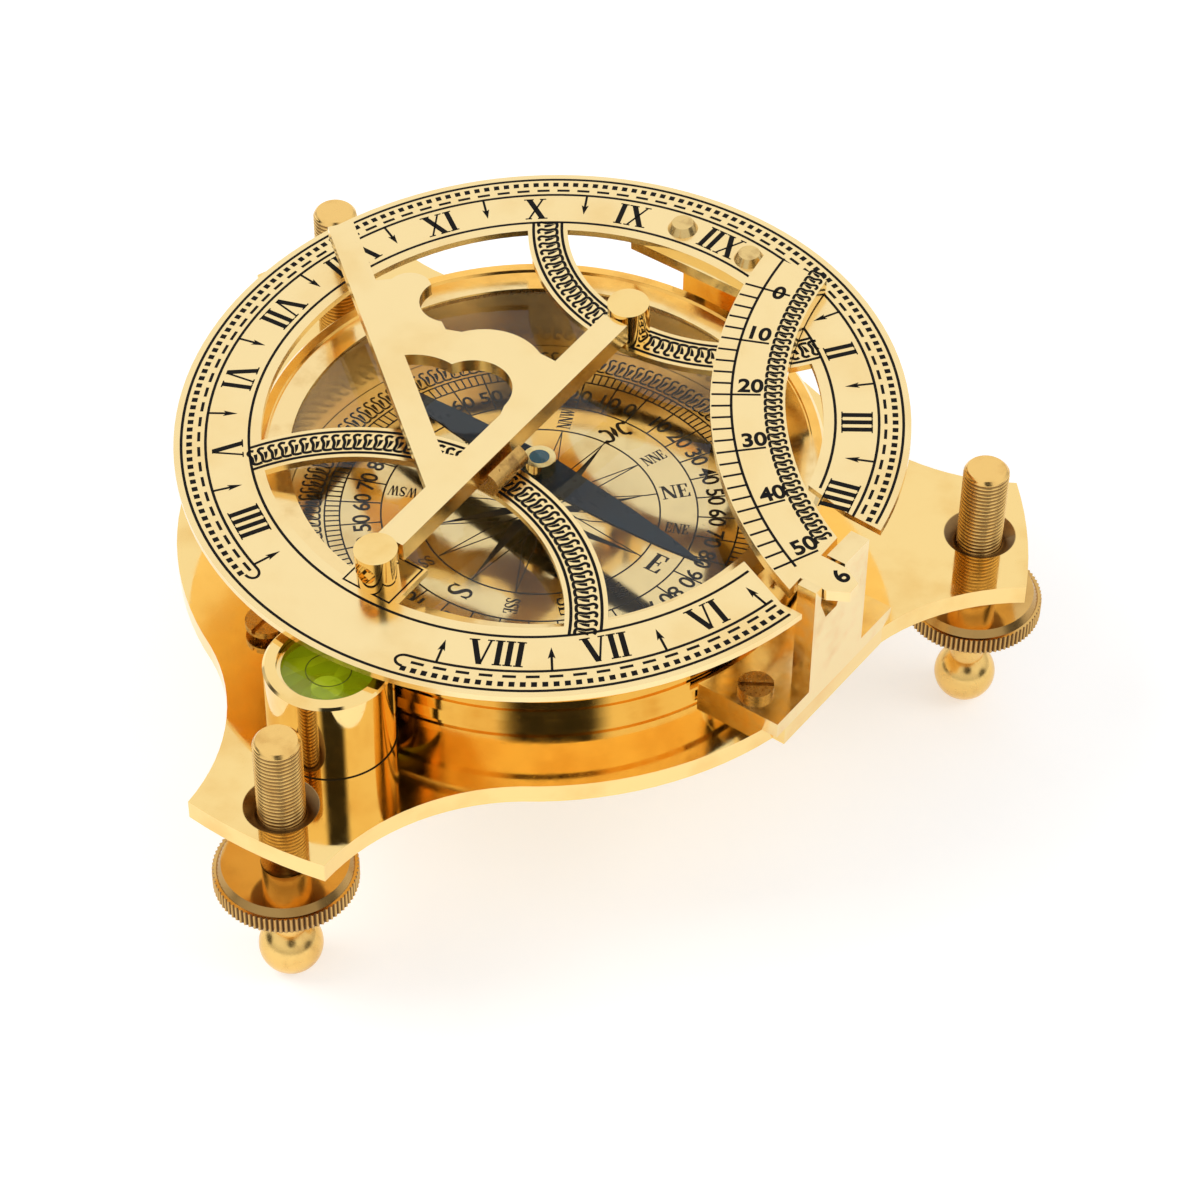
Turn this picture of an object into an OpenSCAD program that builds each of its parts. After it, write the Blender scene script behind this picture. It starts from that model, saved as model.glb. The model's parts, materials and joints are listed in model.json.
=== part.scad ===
// Brass sundial compass: tilting hour ring with folding gnomon and latitude arc
// over a magnetic compass, on a three-arm base with levelling feet.
// Millimetres, +Z up, +Y north along the noon line, floor at Z = 0.

/* [Base] */
// height of the base plate's top face above the floor
arm_top = 38.6; // [36:0.2:42]
// thickness of the base plate
base_t = 3.6; // [3:0.2:4.4]
// width of the plate's rim outside the compass flange
rim_w = 12; // [11.6:0.1:12.2]
// length of the arms past the levelling screws
arm_past = 8.2; // [7.4:0.1:9]
// half width of an arm at its waist
arm_waist = 13.1; // [12.6:0.1:13.6]
// radius of the hollow sides between arms and middle
arm_side_r = 38; // [36:0.5:40]
// how far the arms and the pad start inside the base's rim
root_in = 21; // [20:0.5:22]
// turn of the three arms from the noon line
arm_turn = 5; // [3:0.5:6]
// room between a levelling screw and the level's cup
stud_gap = 3; // [2.8:0.1:3.6]

/* [Levelling feet] */
// diameter of the levelling screw
stud_d = 8; // [7:0.5:8]
// height of the screw's top above the base plate
stud_above = 15.2; // [13:0.2:16]
// radial play of the screw in the base
stud_play = 0.06; // [0.04:0.01:0.1]
// diameter of the chamfered mouth around the screw
mouth_d = 12.4; // [11:0.2:13]
// depth of that mouth
mouth_deep = 1.4; // [0.8:0.1:1.8]
// thumb wheel diameter over the knurl
wheel_d = 24; // [22:0.5:26]
// thumb wheel thickness
wheel_t = 4.4; // [3.6:0.2:5]
// drop from the base plate's top to the wheel's top
wheel_drop = 13; // [12:0.2:15]
// number of straight knurl teeth
knurl_teeth = 84; // [72:4:92]
// depth of the knurl
knurl_deep = 0.35; // [0.25:0.05:0.45]
// height of the plain lip above the knurl
wheel_lip = 1.3; // [1:0.1:1.6]
// how far the lip slopes in
wheel_lip_in = 0.8; // [0.6:0.1:1]
// diameter of the ball foot
ball_d = 10.8; // [10:0.2:12]
// height taken off the ball's lowest point
ball_flat = 0.2; // [0.1:0.05:0.4]
// diameter of the neck above the ball
ball_neck_d = 6; // [5:0.5:7]

/* [Compass] */
// compass centre's place north of the origin
compass_shift = 1.5; // [1.4:0.1:2]
// radius of the housing's plain wall
housing_r = 48; // [47.6:0.1:48.2]
// width of the housing's foot flange
flange_out = 1.4; // [1.2:0.1:1.5]
// height of that flange
flange_t = 1.2; // [1:0.1:1.4]
// thickness of the housing wall
wall_t = 4.4; // [4.2:0.1:5]
// thickness of the housing floor
floor_t = 1.6; // [1.4:0.1:1.8]
// height of the bezel's top above the base plate
bezel_top = 17.8; // [17.6:0.1:18]
// how far the bezel stands out past the housing wall
bezel_out = 0.6; // [0.4:0.1:0.8]
// how far the bezel's lip covers the edge of the bowl
bezel_lap = 1.2; // [1:0.1:1.4]
// thickness of the glass
glass_t = 1.2; // [1.1:0.1:1.4]
// thickness of the printed dial
dial_t = 0.8; // [0.7:0.1:0.9]
// half length of the needle
needle_half = 36; // [32:0.5:38]
// width of the needle at its middle
needle_w = 7.4; // [6.6:0.2:8]
// thickness of the needle
needle_t = 0.5; // [0.4:0.05:0.6]
// height of the needle above the dial
needle_up = 9.2; // [9:0.1:9.3]
// direction of the needle's blue end from north, clockwise
needle_turn = 94; // [0:1:359]

/* [Hour ring] */
// width of the hour ring's band
ring_w = 14.7; // [14.4:0.1:14.9]
// how far the ring's inner edge lies outside the bezel's opening
ring_over = 5; // [4.4:0.1:5.6]
// thickness of the hour ring
ring_t = 1.2; // [1.1:0.1:1.4]
// height of the ring's top face at its centre
ring_up = 61.5; // [61.3:0.1:62.5]
// ring centre's place north of the compass axis
ring_shift = 2.2; // [2:0.1:2.4]
// lean of the folded ring, north side up
ring_lean = 4; // [3.8:0.1:4.2]
// width of the two curved spokes
spoke_w = 7; // [6:0.2:8]
// radius of the south spoke's centre line
south_spoke_r = 39.9; // [38:0.1:42]
// south spoke's nearest place to the ring's centre
south_spoke_at = 15; // [14:0.2:17]
// radius of the north spoke's centre line
north_spoke_r = 34.3; // [33:0.1:36]
// north spoke's nearest place to the ring's centre
north_spoke_at = 25; // [24:0.2:26]
// half width of the tab under the south post
tab_half = 5.4; // [5:0.1:6]
// tab's inner end, south of the ring's centre
tab_end = 38.4; // [37:0.2:40]
// how far the ring's east gap reaches in from the arc's pin
gap_reach = 17.2; // [16.8:0.1:17.6]
// room of the gap south of the tail's axis
gap_room = 7.4; // [7.2:0.1:7.6]

/* [Hinge] */
// room between the compass flange and the hinge axis
hinge_off = 5.5; // [5:0.1:5.8]
// hinge axis below the ring's top face
hinge_drop = 7.2; // [7.1:0.1:7.6]
// radius of the hinge knuckle and lugs
knuckle_r = 2.8; // [2.6:0.1:2.8]
// radius of the hinge pin
hinge_pin_r = 1.2; // [1:0.1:1.4]
// half width of the hinge block
hinge_half = 7.5; // [7:0.5:8]
// half width of the ring's knuckle
knuckle_half = 2.4; // [2:0.1:3]
// half length of the leaf under the ring
leaf_half = 14.5; // [13:0.5:15]
// thickness of the leaf
leaf_t = 2.2; // [2:0.1:2.2]
// west rivet's place from the noon line
rivet_west = 7.8; // [7:0.1:8]
// east rivet's place from the noon line, beside the folded arc
rivet_east = 6.4; // [6.2:0.1:6.5]
// diameter of the rivet heads
rivet_head_d = 5.4; // [4.6:0.2:5.4]
// height of the rivet heads
rivet_head_t = 1.4; // [1:0.1:1.6]
// how far the hinge screws reach into the block
hinge_bite = 7; // [5:0.5:8]

/* [Gnomon] */
// style's angle from its bar
style_angle = 52.7; // [50:0.1:54]
// length of the style edge
style_len = 70; // [64:0.5:71]
// width of the style strip
style_w = 4.6; // [4:0.1:5.2]
// style's foot south of the ring's centre
style_foot = 30; // [29:0.2:31]
// thickness of the gnomon plate
plate_t = 2.4; // [2:0.1:2.8]
// width of the bar the gnomon turns on
bar_w = 5; // [4.4:0.1:5.2]
// height of the bar
bar_t = 3.6; // [3:0.1:3.8]
// height of the gnomon's axis above the ring
gnomon_up = 4.2; // [4:0.1:4.4]
// radius of the gnomon's pivot pins
gnomon_pin_r = 1.2; // [1:0.05:1.3]
// diameter of the two posts
post_d = 7.2; // [6.6:0.1:7.6]
// height of the posts above the ring
post_up = 7; // [6.6:0.1:7.6]
// south post's place from the ring's centre
south_post_at = 44.4; // [44:0.1:44.8]
// north post's place from the ring's centre
north_post_at = 25.3; // [24.8:0.1:25.8]

/* [Latitude arc] */
// outer radius of the arc
arc_out = 76.8; // [76.4:0.1:77]
// width of the arc's band
arc_band = 12.6; // [12.2:0.1:12.8]
// how far the arc reaches west of its pin
arc_west = 51; // [50.6:0.1:51.2]
// west of the pin where the arc's edge is set out from
arc_root_w = 4.2; // [4:0.1:4.4]
// south of the tail's axis where the arc's edge is set out from
arc_root_s = 5.4; // [5.2:0.1:5.6]
// thickness of the arc
arc_t = 2.2; // [2:0.1:2.2]
// gap between the folded arc and the ring
arc_gap = 0.4; // [0.3:0.05:0.5]
// north end of the arc from the ring's centre
arc_end = 53; // [51:0.2:53.4]
// width of the arc's tail
tail_w = 6; // [5.4:0.1:6]
// tail's axis south of the ring's centre
tail_at = 4.8; // [4.6:0.1:5]
// length of the tail past its pin
tail_past = 5.8; // [5:0.1:6]
// pin's place inside the ring's edge
pin_inset = 1.9; // [1.8:0.1:2]
// radius of the arc's pin
arc_pin_r = 0.6; // [0.5:0.05:0.6]

/* [Bracket] */
// thickness of the bracket's upright
bracket_t = 3.5; // [3.2:0.1:3.6]
// half width of the upright at its foot
bracket_half = 7.8; // [7.6:0.1:8]
// half length of the bracket's foot
foot_half = 17; // [16:0.5:18]
// thickness of the bracket's foot
foot_t = 3; // [2.6:0.1:3.4]
// how far the bracket's foot wraps past the compass flange
foot_wrap = 3.45; // [3:0.05:4]
// screws' place north and south of the bracket's middle
bracket_screw_at = 12.4; // [12:0.1:12.8]

/* [Spirit level] */
// radius of the level's cup
level_r = 10.6; // [10.2:0.1:10.6]
// height of the cup
level_h = 16.2; // [15.6:0.1:16.3]
// radius of the bore for the vial
level_bore = 8.4; // [8:0.1:8.6]
// room between the cup and the compass flange
level_gap = 0.7; // [0.6:0.1:1]
// cup's direction from south, counter-clockwise
level_turn = 3; // [2:0.5:5]
// radius of the bubble
bubble_r = 2.6; // [2:0.1:3]
// height of the bubble
bubble_t = 0.9; // [0.7:0.1:1.1]
// thickness of the cup's floor
cup_floor = 5.4; // [5:0.1:5.8]
// depth of the vial's glass below the cup's rim
vial_drop = 3.2; // [3:0.1:3.4]
// thickness of the vial's glass
level_glass_t = 1.4; // [1.2:0.1:1.6]
// radius of the screw that holds the cup
cup_screw_r = 2; // [1.8:0.1:2.2]

/* [Screws and fits] */
// radius of the small screws
screw_r = 1.5; // [1.4:0.05:1.6]
// radius of the small screw heads
head_r = 3; // [2.8:0.1:3.2]
// height of the small screw heads
head_t = 1.2; // [1.1:0.1:1.6]
// width of the screwdriver slots
slot_w = 0.8; // [0.6:0.1:1]
// radial clearance of pins and screws in their holes
fit = 0.05; // [0.03:0.01:0.08]
// clearance between parts that pass each other
pass = 0.35; // [0.3:0.05:0.4]

/* [Hidden] */
$fn = 96;
eps = 0.02;
brass = [0.86, 0.66, 0.30];
pale_brass = [0.90, 0.74, 0.42];
dark_steel = [0.08, 0.14, 0.22];
flange_r = housing_r + flange_out;
bowl_r = housing_r - wall_t;
bezel_r = housing_r + bezel_out;
bezel_in = bowl_r - bezel_lap;
base_r = flange_r + rim_w;
ring_in = bezel_in + ring_over;
ring_r = ring_in + ring_w;
hinge_at = flange_r + hinge_off;
arc_pin_x = ring_r - pin_inset;
arc_cx = arc_pin_x - arc_west + arc_out;
arc_cy = sqrt(pow(arc_out, 2) - pow(arc_out - arc_west + arc_root_w, 2)) - tail_at - arc_root_s;
arc_in = arc_out - arc_band;
level_at = flange_r + level_r + level_gap - compass_shift;
foot_circle = level_at + level_r + stud_d / 2 + stud_gap;
arm_end_r = foot_circle + arm_past;
south_arm = -90 + arm_turn;
east_arm = 30 + arm_turn;
west_arm = 150 + arm_turn;
stud_r = stud_d / 2;
ball_r = ball_d / 2;
wheel_top = arm_top - wheel_drop;
wheel_low = wheel_top - wheel_t;
ball_mid = ball_r - ball_flat;
ball_flat_r = sqrt(ball_r * ball_r - ball_mid * ball_mid);
neck_low = ball_mid + sqrt(ball_r * ball_r - ball_neck_d * ball_neck_d / 4);
side_cx = arm_waist + arm_side_r;
side_tx = side_cx * base_r / (base_r + arm_side_r);
side_bite = 0.04;
side_cy = sqrt(pow(base_r + arm_side_r - side_bite, 2) - side_cx * side_cx);
dial_low = arm_top + floor_t;
dial_top = dial_low + dial_t;
bezel_z = arm_top + bezel_top;
lip_t = 1.5;
lip_edge = 0.4;
crown_w = 2.2;
crown_step = 0.4;
glass_top = bezel_z - lip_t;
glass_low = glass_top - glass_t;
crown_in = bezel_r - crown_w;
lip_slope = bezel_z - crown_step - glass_top - lip_edge;
seat_t = 0.6;
seat_low = glass_low - seat_t;
thread_low = seat_low - 1;
neck_r = housing_r - 1.4;
needle_low = dial_top + needle_up;
needle_top = needle_low + needle_t;
cap_r = 2.8;
cap_t = 2.7;
jewel_r = 1.7;
jewel_deep = 0.5;
needle_shape = [[1, 0], [0.68, 0.5], [0.38, 0.78], [0, 1], [-0.38, 0.78], [-0.68, 0.5]];
pivot_r = 0.6;
pivot_tip = needle_top + 1.3;
hole_r = 1.3;
ring_low = -ring_t;
leaf_low = ring_low - leaf_t;
bar_low = gnomon_up - bar_t / 2;
bar_top = gnomon_up + bar_t / 2;
plate_low = bar_top - plate_t;
bar_half = bar_w / 2;
post_r = post_d / 2;
bar_south = -south_post_at + post_r + 0.2;
bar_north = north_post_at - post_r - 0.2;
arc_low = arc_gap;
arc_top = arc_gap + arc_t;
arc_mid = arc_gap + arc_t / 2;
body_end = arc_pin_x - 2.6;
tail_half = tail_w / 2;
bracket_out = arc_pin_x + bracket_t / 2;
bracket_in = arc_pin_x - bracket_t / 2;
pin_y = ring_shift - tail_at * cos(ring_lean) - arc_mid * sin(ring_lean);
pin_z = ring_up - tail_at * sin(ring_lean) + arc_mid * cos(ring_lean);
hinge_y = ring_shift + hinge_at * cos(ring_lean) + hinge_drop * sin(ring_lean);
hinge_z = ring_up + hinge_at * sin(ring_lean) - hinge_drop * cos(ring_lean);
fork_top = pin_z + 1.5;
slot_half = tail_half + pass;
level_top = arm_top + level_h;
level_floor = arm_top + cup_floor;
level_glass_low = level_top - vial_drop;
housing_screw_at = flange_r + head_r + 0.4;
pad_half = foot_half - 2.4;
shoulder = [-6.8, -2.4];
pad_deep = bracket_out - base_r + root_in;
foot_deep = bracket_out - flange_r + foot_wrap;
chamfer = 0.6;
flange_overlap = 0.6;
slot_deep = 0.7;
hinge_screw_at = (hinge_half + knuckle_half) / 2 + 0.15;
rivet_v = hinge_at - 2.5;
rivet_taper = 0.8;
rivet_sides = [-rivet_west, rivet_east];
leaf_south = 9;
leaf_len = 12;
pin_bite = 4;
pin_lug = 1.6;
pin_mouth_r = 2;
arc_pin_lug = 2;
arc_pin_len = tail_w + 3 * arc_pin_lug;
tail_step = 2.4;
corner_at = 10.8;
corner_turn = 15;
tail_tip_half = 1.2;
cup_screw_bite = 3;
vial_play = 0.05;
bubble_off = [2.2, 1.2];
retainer_w = 0.65;
retainer_t = 0.9;
band_t = 1.5;
bands = [1.2, 3.4];
seat_in = 0.3;
glass_play = 0.2;
boss_r = 1.8;
boss_t = 1.2;
tip_r = 0.12;
tip_len = 0.8;
collar_t = 1.6;
brow = 7.8;
lobe_r = 11;
lobe = [-lobe_r, -2];
dip = [-22.6, 3.4];
crest = [-34.2, 8];
crest_r = 3.9;
hollow = [-26.3, 9.6];
hollow_r = 5.4;
west_eye = [-17.4, -13.3];
west_eye_r = 10.55;
east_eye = [-lobe_r + 0.8, -5.8];
east_eye_r = 7;
eye_west = [-24.4, -5.5];
eye_south = [-5.5, -20.6];
eye_low = -19.6;
rest_west = 2.2;
rest_w = 6.4;
rest_len = 8.4;
rest_h = 2.6;
rest_roll = [3.2, 2.4];
rest_roll_r = 2.2;

// places a part of the ring group on the leaning ring
module on_ring() {
  translate([0, ring_shift, ring_up])
    rotate([ring_lean, 0, 0])
      children();
}

// places a part on one of the three arms
module on_arm(turn, z = 0) {
  rotate(turn)
    translate([foot_circle, 0, z])
      children();
}

// places a part on the compass axis
module on_compass(z = 0) {
  translate([0, compass_shift, z])
    children();
}

// places a part on the level's axis
module on_level(z = 0) {
  rotate(-90 + level_turn)
    translate([level_at, 0, z])
      children();
}

// places a part beside the housing, at both clamp screws
module at_housing_screws(z = 0) {
  for (turn = [-113, 67])
    on_compass(z)
      rotate(turn)
        translate([housing_screw_at, 0, 0])
          children();
}

// places a part at both bracket screws
module at_bracket_screws(z = 0) {
  for (side = [-1, 1])
    translate([bracket_in - 3.9, side * bracket_screw_at, z])
      children();
}

// places a part at both hinge screws
module at_hinge_screws(z = 0) {
  for (side = [-1, 1])
    translate([side * hinge_screw_at, hinge_y, z])
      children();
}

// flat outline of one arm, pointing along +Y
module arm_outline() {
  intersection() {
    circle(arm_end_r, $fn = 180);
    difference() {
      translate([-side_tx, base_r - root_in])
        square([2 * side_tx, arm_end_r - base_r + 2 * root_in]);
      for (side = [-1, 1])
        translate([side * side_cx, side_cy])
          circle(arm_side_r);
    }
  }
}

// flat outline of the whole base
module base_outline() {
  circle(base_r, $fn = 180);
  for (turn = [south_arm, east_arm, west_arm])
    rotate(turn - 90)
      arm_outline();
  translate([bracket_out - pad_deep, -pad_half])
    square([pad_deep, 2 * pad_half]);
}

module base_plate() {
  color(brass)
    difference() {
      translate([0, 0, arm_top - base_t])
        linear_extrude(base_t)
          base_outline();
      for (turn = [south_arm, east_arm, west_arm])
        on_arm(turn, arm_top - base_t - eps) {
          cylinder(r = stud_r + stud_play, h = base_t + 2 * eps);
          translate([0, 0, base_t - mouth_deep + eps])
            cylinder(r1 = stud_r + stud_play, r2 = mouth_d / 2, h = mouth_deep + eps);
        }
      at_housing_screws(arm_top - base_t - eps)
        cylinder(r = screw_r + fit, h = base_t + 1);
      at_bracket_screws(arm_top - base_t - eps)
        cylinder(r = screw_r + fit, h = base_t + 1);
      at_hinge_screws(arm_top - base_t - eps)
        cylinder(r = screw_r + fit, h = base_t + 1);
      on_level(arm_top - base_t - eps)
        cylinder(r = cup_screw_r + fit, h = base_t + 1);
    }
}

module levelling_screw(turn) {
  color(brass)
    on_arm(turn, wheel_low) {
      cylinder(r = stud_r, h = arm_top + stud_above - wheel_low - chamfer);
      translate([0, 0, arm_top + stud_above - wheel_low - chamfer])
        cylinder(r1 = stud_r, r2 = stud_r - chamfer, h = chamfer);
    }
}

module thumb_wheel(turn) {
  step = 180 / knurl_teeth;
  rim = wheel_d / 2;
  color(brass)
    on_arm(turn, wheel_low)
      difference() {
        union() {
          linear_extrude(wheel_t - wheel_lip)
            polygon([for (i = [0 : 2 * knurl_teeth - 1])
              (rim - (i % 2) * knurl_deep) * [cos(i * step), sin(i * step)]]);
          translate([0, 0, wheel_t - wheel_lip])
            cylinder(r1 = rim - 2 * knurl_deep, r2 = rim - 2 * knurl_deep - wheel_lip_in, h = wheel_lip);
        }
        translate([0, 0, -eps])
          cylinder(r = stud_r + fit, h = wheel_t + 2 * eps);
      }
}

module ball_foot(turn) {
  color(brass)
    on_arm(turn)
      difference() {
        union() {
          translate([0, 0, ball_mid])
            sphere(ball_r);
          translate([0, 0, ball_mid])
            cylinder(d = ball_neck_d, h = wheel_low - ball_mid);
          translate([0, 0, wheel_low - collar_t])
            cylinder(r1 = ball_neck_d / 2, r2 = stud_r, h = collar_t);
        }
        translate([0, 0, -ball_d])
          cylinder(r = ball_r, h = ball_d);
      }
}

module compass_housing() {
  color(brass)
    difference() {
      union() {
        on_compass(arm_top)
          cylinder(r = flange_r, h = flange_t, $fn = 180);
        on_compass(arm_top)
          cylinder(r = housing_r, h = thread_low - arm_top, $fn = 180);
        for (band = bands)
          on_compass(arm_top + band)
            cylinder(r = bezel_r, h = band_t, $fn = 180);
        on_compass(arm_top)
          cylinder(r = neck_r, h = seat_low - arm_top, $fn = 180);
      }
      on_compass(dial_low)
        cylinder(r = bowl_r, h = seat_low, $fn = 180);
    }
}

module slotted_head() {
  difference() {
    cylinder(r = head_r, h = head_t);
    translate([-head_r - 1, -slot_w / 2, head_t - slot_deep])
      cube([2 * head_r + 2, slot_w, 2 * slot_deep]);
  }
}

module housing_screws() {
  color(brass)
    at_housing_screws(arm_top + flange_t) {
      rotate(25)
        difference() {
          cylinder(r = head_r + flange_overlap, h = head_t);
          translate([-head_r - 1, -slot_w / 2, head_t - slot_deep])
            cube([2 * head_r + 2, slot_w, 2 * slot_deep]);
        }
      translate([0, 0, -flange_t - base_t])
        cylinder(r = screw_r, h = base_t + flange_t + eps);
    }
}

module compass_dial() {
  color(pale_brass)
    on_compass(dial_low)
      cylinder(r = bowl_r - 0.1, h = dial_t, $fn = 180);
}

module pivot_pin() {
  color(brass)
    on_compass(dial_top) {
      cylinder(r = boss_r, h = boss_t);
      cylinder(r = pivot_r, h = pivot_tip - dial_top - tip_len);
      translate([0, 0, pivot_tip - dial_top - tip_len])
        cylinder(r1 = pivot_r, r2 = tip_r, h = tip_len);
    }
}

module needle() {
  color(dark_steel)
    on_compass(needle_low)
      rotate(-needle_turn)
        linear_extrude(needle_t)
          difference() {
            polygon([for (end = [-1, 1], place = needle_shape)
              [end * place[0] * needle_w / 2, end * place[1] * needle_half]]);
            circle(hole_r);
          }
}

module needle_cap() {
  color(brass)
    on_compass(needle_top)
      difference() {
        cylinder(r = cap_r, h = cap_t);
        translate([0, 0, -eps])
          cylinder(r = pivot_r + 0.4, h = 1.5);
        translate([0, 0, cap_t - jewel_deep])
          cylinder(r = jewel_r + fit, h = 1);
      }
}

module needle_jewel() {
  color([0.05, 0.35, 0.42])
    on_compass(needle_top + cap_t - jewel_deep)
      cylinder(r = jewel_r, h = jewel_deep);
}

module glass_seat() {
  color([0.12, 0.12, 0.12])
    on_compass(seat_low)
      difference() {
        cylinder(r = neck_r - glass_play, h = seat_t, $fn = 180);
        translate([0, 0, -eps])
          cylinder(r = bowl_r + seat_in, h = seat_t + 1, $fn = 180);
      }
}

module glass() {
  color([0.85, 0.92, 0.9, 0.35])
    on_compass(glass_low)
      cylinder(r = neck_r - glass_play, h = glass_t, $fn = 180);
}

module bezel() {
  color(brass)
    difference() {
      union() {
        on_compass(thread_low)
          cylinder(r = bezel_r, h = bezel_z - thread_low - chamfer, $fn = 180);
        on_compass(bezel_z - chamfer)
          cylinder(r1 = bezel_r, r2 = bezel_r - chamfer, h = chamfer, $fn = 180);
      }
      on_compass(thread_low - eps)
        cylinder(r = neck_r + fit, h = glass_top - thread_low + eps, $fn = 180);
      on_compass(glass_top - 1)
        cylinder(r = bezel_in, h = 4, $fn = 180);
      on_compass(glass_top + lip_edge)
        cylinder(r1 = bezel_in, r2 = crown_in - crown_step, h = lip_slope, $fn = 180);
      on_compass(bezel_z - crown_step)
        cylinder(r = crown_in, h = 2, $fn = 180);
    }
}

// flat outline of one curved spoke
module spoke_outline(centre, r) {
  intersection() {
    circle(ring_in + 1, $fn = 180);
    translate([0, centre])
      difference() {
        circle(r + spoke_w / 2, $fn = 180);
        circle(r - spoke_w / 2, $fn = 180);
      }
  }
}

// gap in the ring's east side that the arc and bracket pass through
module gap_outline() {
  gap_in = arc_pin_x - gap_reach;
  gap_far = arc_pin_x + 4;
  gap_step = arc_pin_x - 3.2;
  gap_south = -tail_at - gap_room;
  gap_north = tail_at + 5.4;
  polygon([[gap_in, gap_south + 5.4], [gap_in + 4, gap_south + 4.2], [gap_step, gap_south],
    [gap_far, gap_south], [gap_far, gap_north], [gap_step - 3, gap_north + 0.4],
    [gap_in, gap_north + 2.6]]);
}

module hour_ring() {
  color(pale_brass)
    on_ring()
      translate([0, 0, ring_low])
        linear_extrude(ring_t)
          difference() {
            union() {
              difference() {
                circle(ring_r, $fn = 180);
                circle(ring_in, $fn = 180);
              }
              spoke_outline(-south_spoke_at - south_spoke_r, south_spoke_r);
              spoke_outline(north_spoke_at + north_spoke_r, north_spoke_r);
              translate([-tab_half, -ring_in - 1])
                square([2 * tab_half, ring_in + 1 - tab_end]);
            }
            gap_outline();
            for (side = rivet_sides)
              translate([side, rivet_v])
                circle(screw_r + fit);
          }
}

module hinge_leaf() {
  color(brass)
    on_ring()
      difference() {
        union() {
          translate([-leaf_half, hinge_at - leaf_south, leaf_low])
            cube([2 * leaf_half, leaf_len, leaf_t]);
          translate([-knuckle_half, hinge_at - knuckle_r, -hinge_drop])
            cube([2 * knuckle_half, 2 * knuckle_r, hinge_drop + leaf_low + eps]);
          translate([-knuckle_half, hinge_at, -hinge_drop])
            rotate([0, 90, 0])
              cylinder(r = knuckle_r, h = 2 * knuckle_half);
        }
        translate([-knuckle_half - 1, hinge_at, -hinge_drop])
          rotate([0, 90, 0])
            cylinder(r = hinge_pin_r + fit, h = 2 * knuckle_half + 2);
        for (side = rivet_sides)
          translate([side, rivet_v, leaf_low - 1])
            cylinder(r = screw_r + fit, h = leaf_t + 2);
      }
}

module hinge_rivets() {
  color(brass)
    on_ring()
      for (side = rivet_sides)
        translate([side, rivet_v, leaf_low]) {
          cylinder(r = screw_r, h = leaf_t + ring_t + eps);
          translate([0, 0, leaf_t + ring_t])
            cylinder(d1 = rivet_head_d, d2 = rivet_head_d - 2 * rivet_taper, h = rivet_head_t);
        }
}

module hinge_block() {
  color(brass)
    difference() {
      union() {
        translate([-hinge_half, hinge_y - knuckle_r, arm_top])
          cube([2 * hinge_half, 2 * knuckle_r, hinge_z - arm_top]);
        translate([-hinge_half, hinge_y, hinge_z])
          rotate([0, 90, 0])
            cylinder(r = knuckle_r, h = 2 * hinge_half);
      }
      translate([-knuckle_half - pass, hinge_y - 2 * knuckle_r, hinge_z - knuckle_r - pass])
        cube([2 * knuckle_half + 2 * pass, 4 * knuckle_r, 4 * knuckle_r]);
      translate([-hinge_half - 1, hinge_y, hinge_z])
        rotate([0, 90, 0])
          cylinder(r = hinge_pin_r + fit, h = 2 * hinge_half + 2);
      at_hinge_screws(arm_top - eps)
        cylinder(r = screw_r + fit, h = hinge_bite + 1);
    }
}

module hinge_pin() {
  color(brass)
    translate([-hinge_half, hinge_y, hinge_z])
      rotate([0, 90, 0])
        cylinder(r = hinge_pin_r, h = 2 * hinge_half);
}

module hinge_screws() {
  color(brass)
    at_hinge_screws(arm_top - base_t) {
      cylinder(r = screw_r, h = base_t + hinge_bite);
      rotate([180, 0, 0])
        cylinder(r = head_r - 0.4, h = head_t);
    }
}

// flat outline of the pierced gnomon plate
module gnomon_outline() {
  difference() {
    union() {
      polygon([[-1, -style_foot + 1], [-1, brow - 0.2], [-lobe_r, brow], dip,
        crest + [2.2, 1.5], crest + [-1.8, 2], crest + shoulder]);
      translate(lobe)
        circle(lobe_r);
      translate(crest)
        circle(crest_r);
    }
    translate(hollow)
      circle(hollow_r);
    translate(west_eye)
      circle(west_eye_r, $fn = 90);
    translate(east_eye)
      circle(east_eye_r, $fn = 90);
    polygon([eye_west, east_eye + [east_eye_r, 0], [-bar_half, east_eye[1] - 2],
      [-bar_half, eye_low], eye_south]);
  }
  translate([0, -style_foot])
    rotate(style_angle)
      square([style_w, style_len]);
}

module gnomon() {
  color(pale_brass)
    on_ring()
      difference() {
        union() {
          translate([0, 0, plate_low])
            linear_extrude(plate_t)
              intersection() {
                gnomon_outline();
                translate([-2 * style_len, -2 * style_len])
                  square([2 * style_len + bar_half, 4 * style_len]);
              }
          translate([-bar_half, bar_south, bar_low])
            cube([bar_w, bar_north - bar_south, bar_t]);
        }
        for (end = [bar_south, bar_north])
          translate([0, end - pin_bite, gnomon_up])
            rotate([-90, 0, 0])
              cylinder(r = gnomon_pin_r + fit, h = 2 * pin_bite);
      }
}

module gnomon_pins() {
  color(brass)
    on_ring() {
      translate([0, -south_post_at - pin_lug, gnomon_up])
        rotate([-90, 0, 0])
          cylinder(r = gnomon_pin_r, h = bar_south + pin_bite + south_post_at + pin_lug);
      translate([0, bar_north - pin_bite, gnomon_up])
        rotate([-90, 0, 0])
          cylinder(r = gnomon_pin_r, h = north_post_at - bar_north + pin_bite + pin_lug);
    }
}

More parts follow.
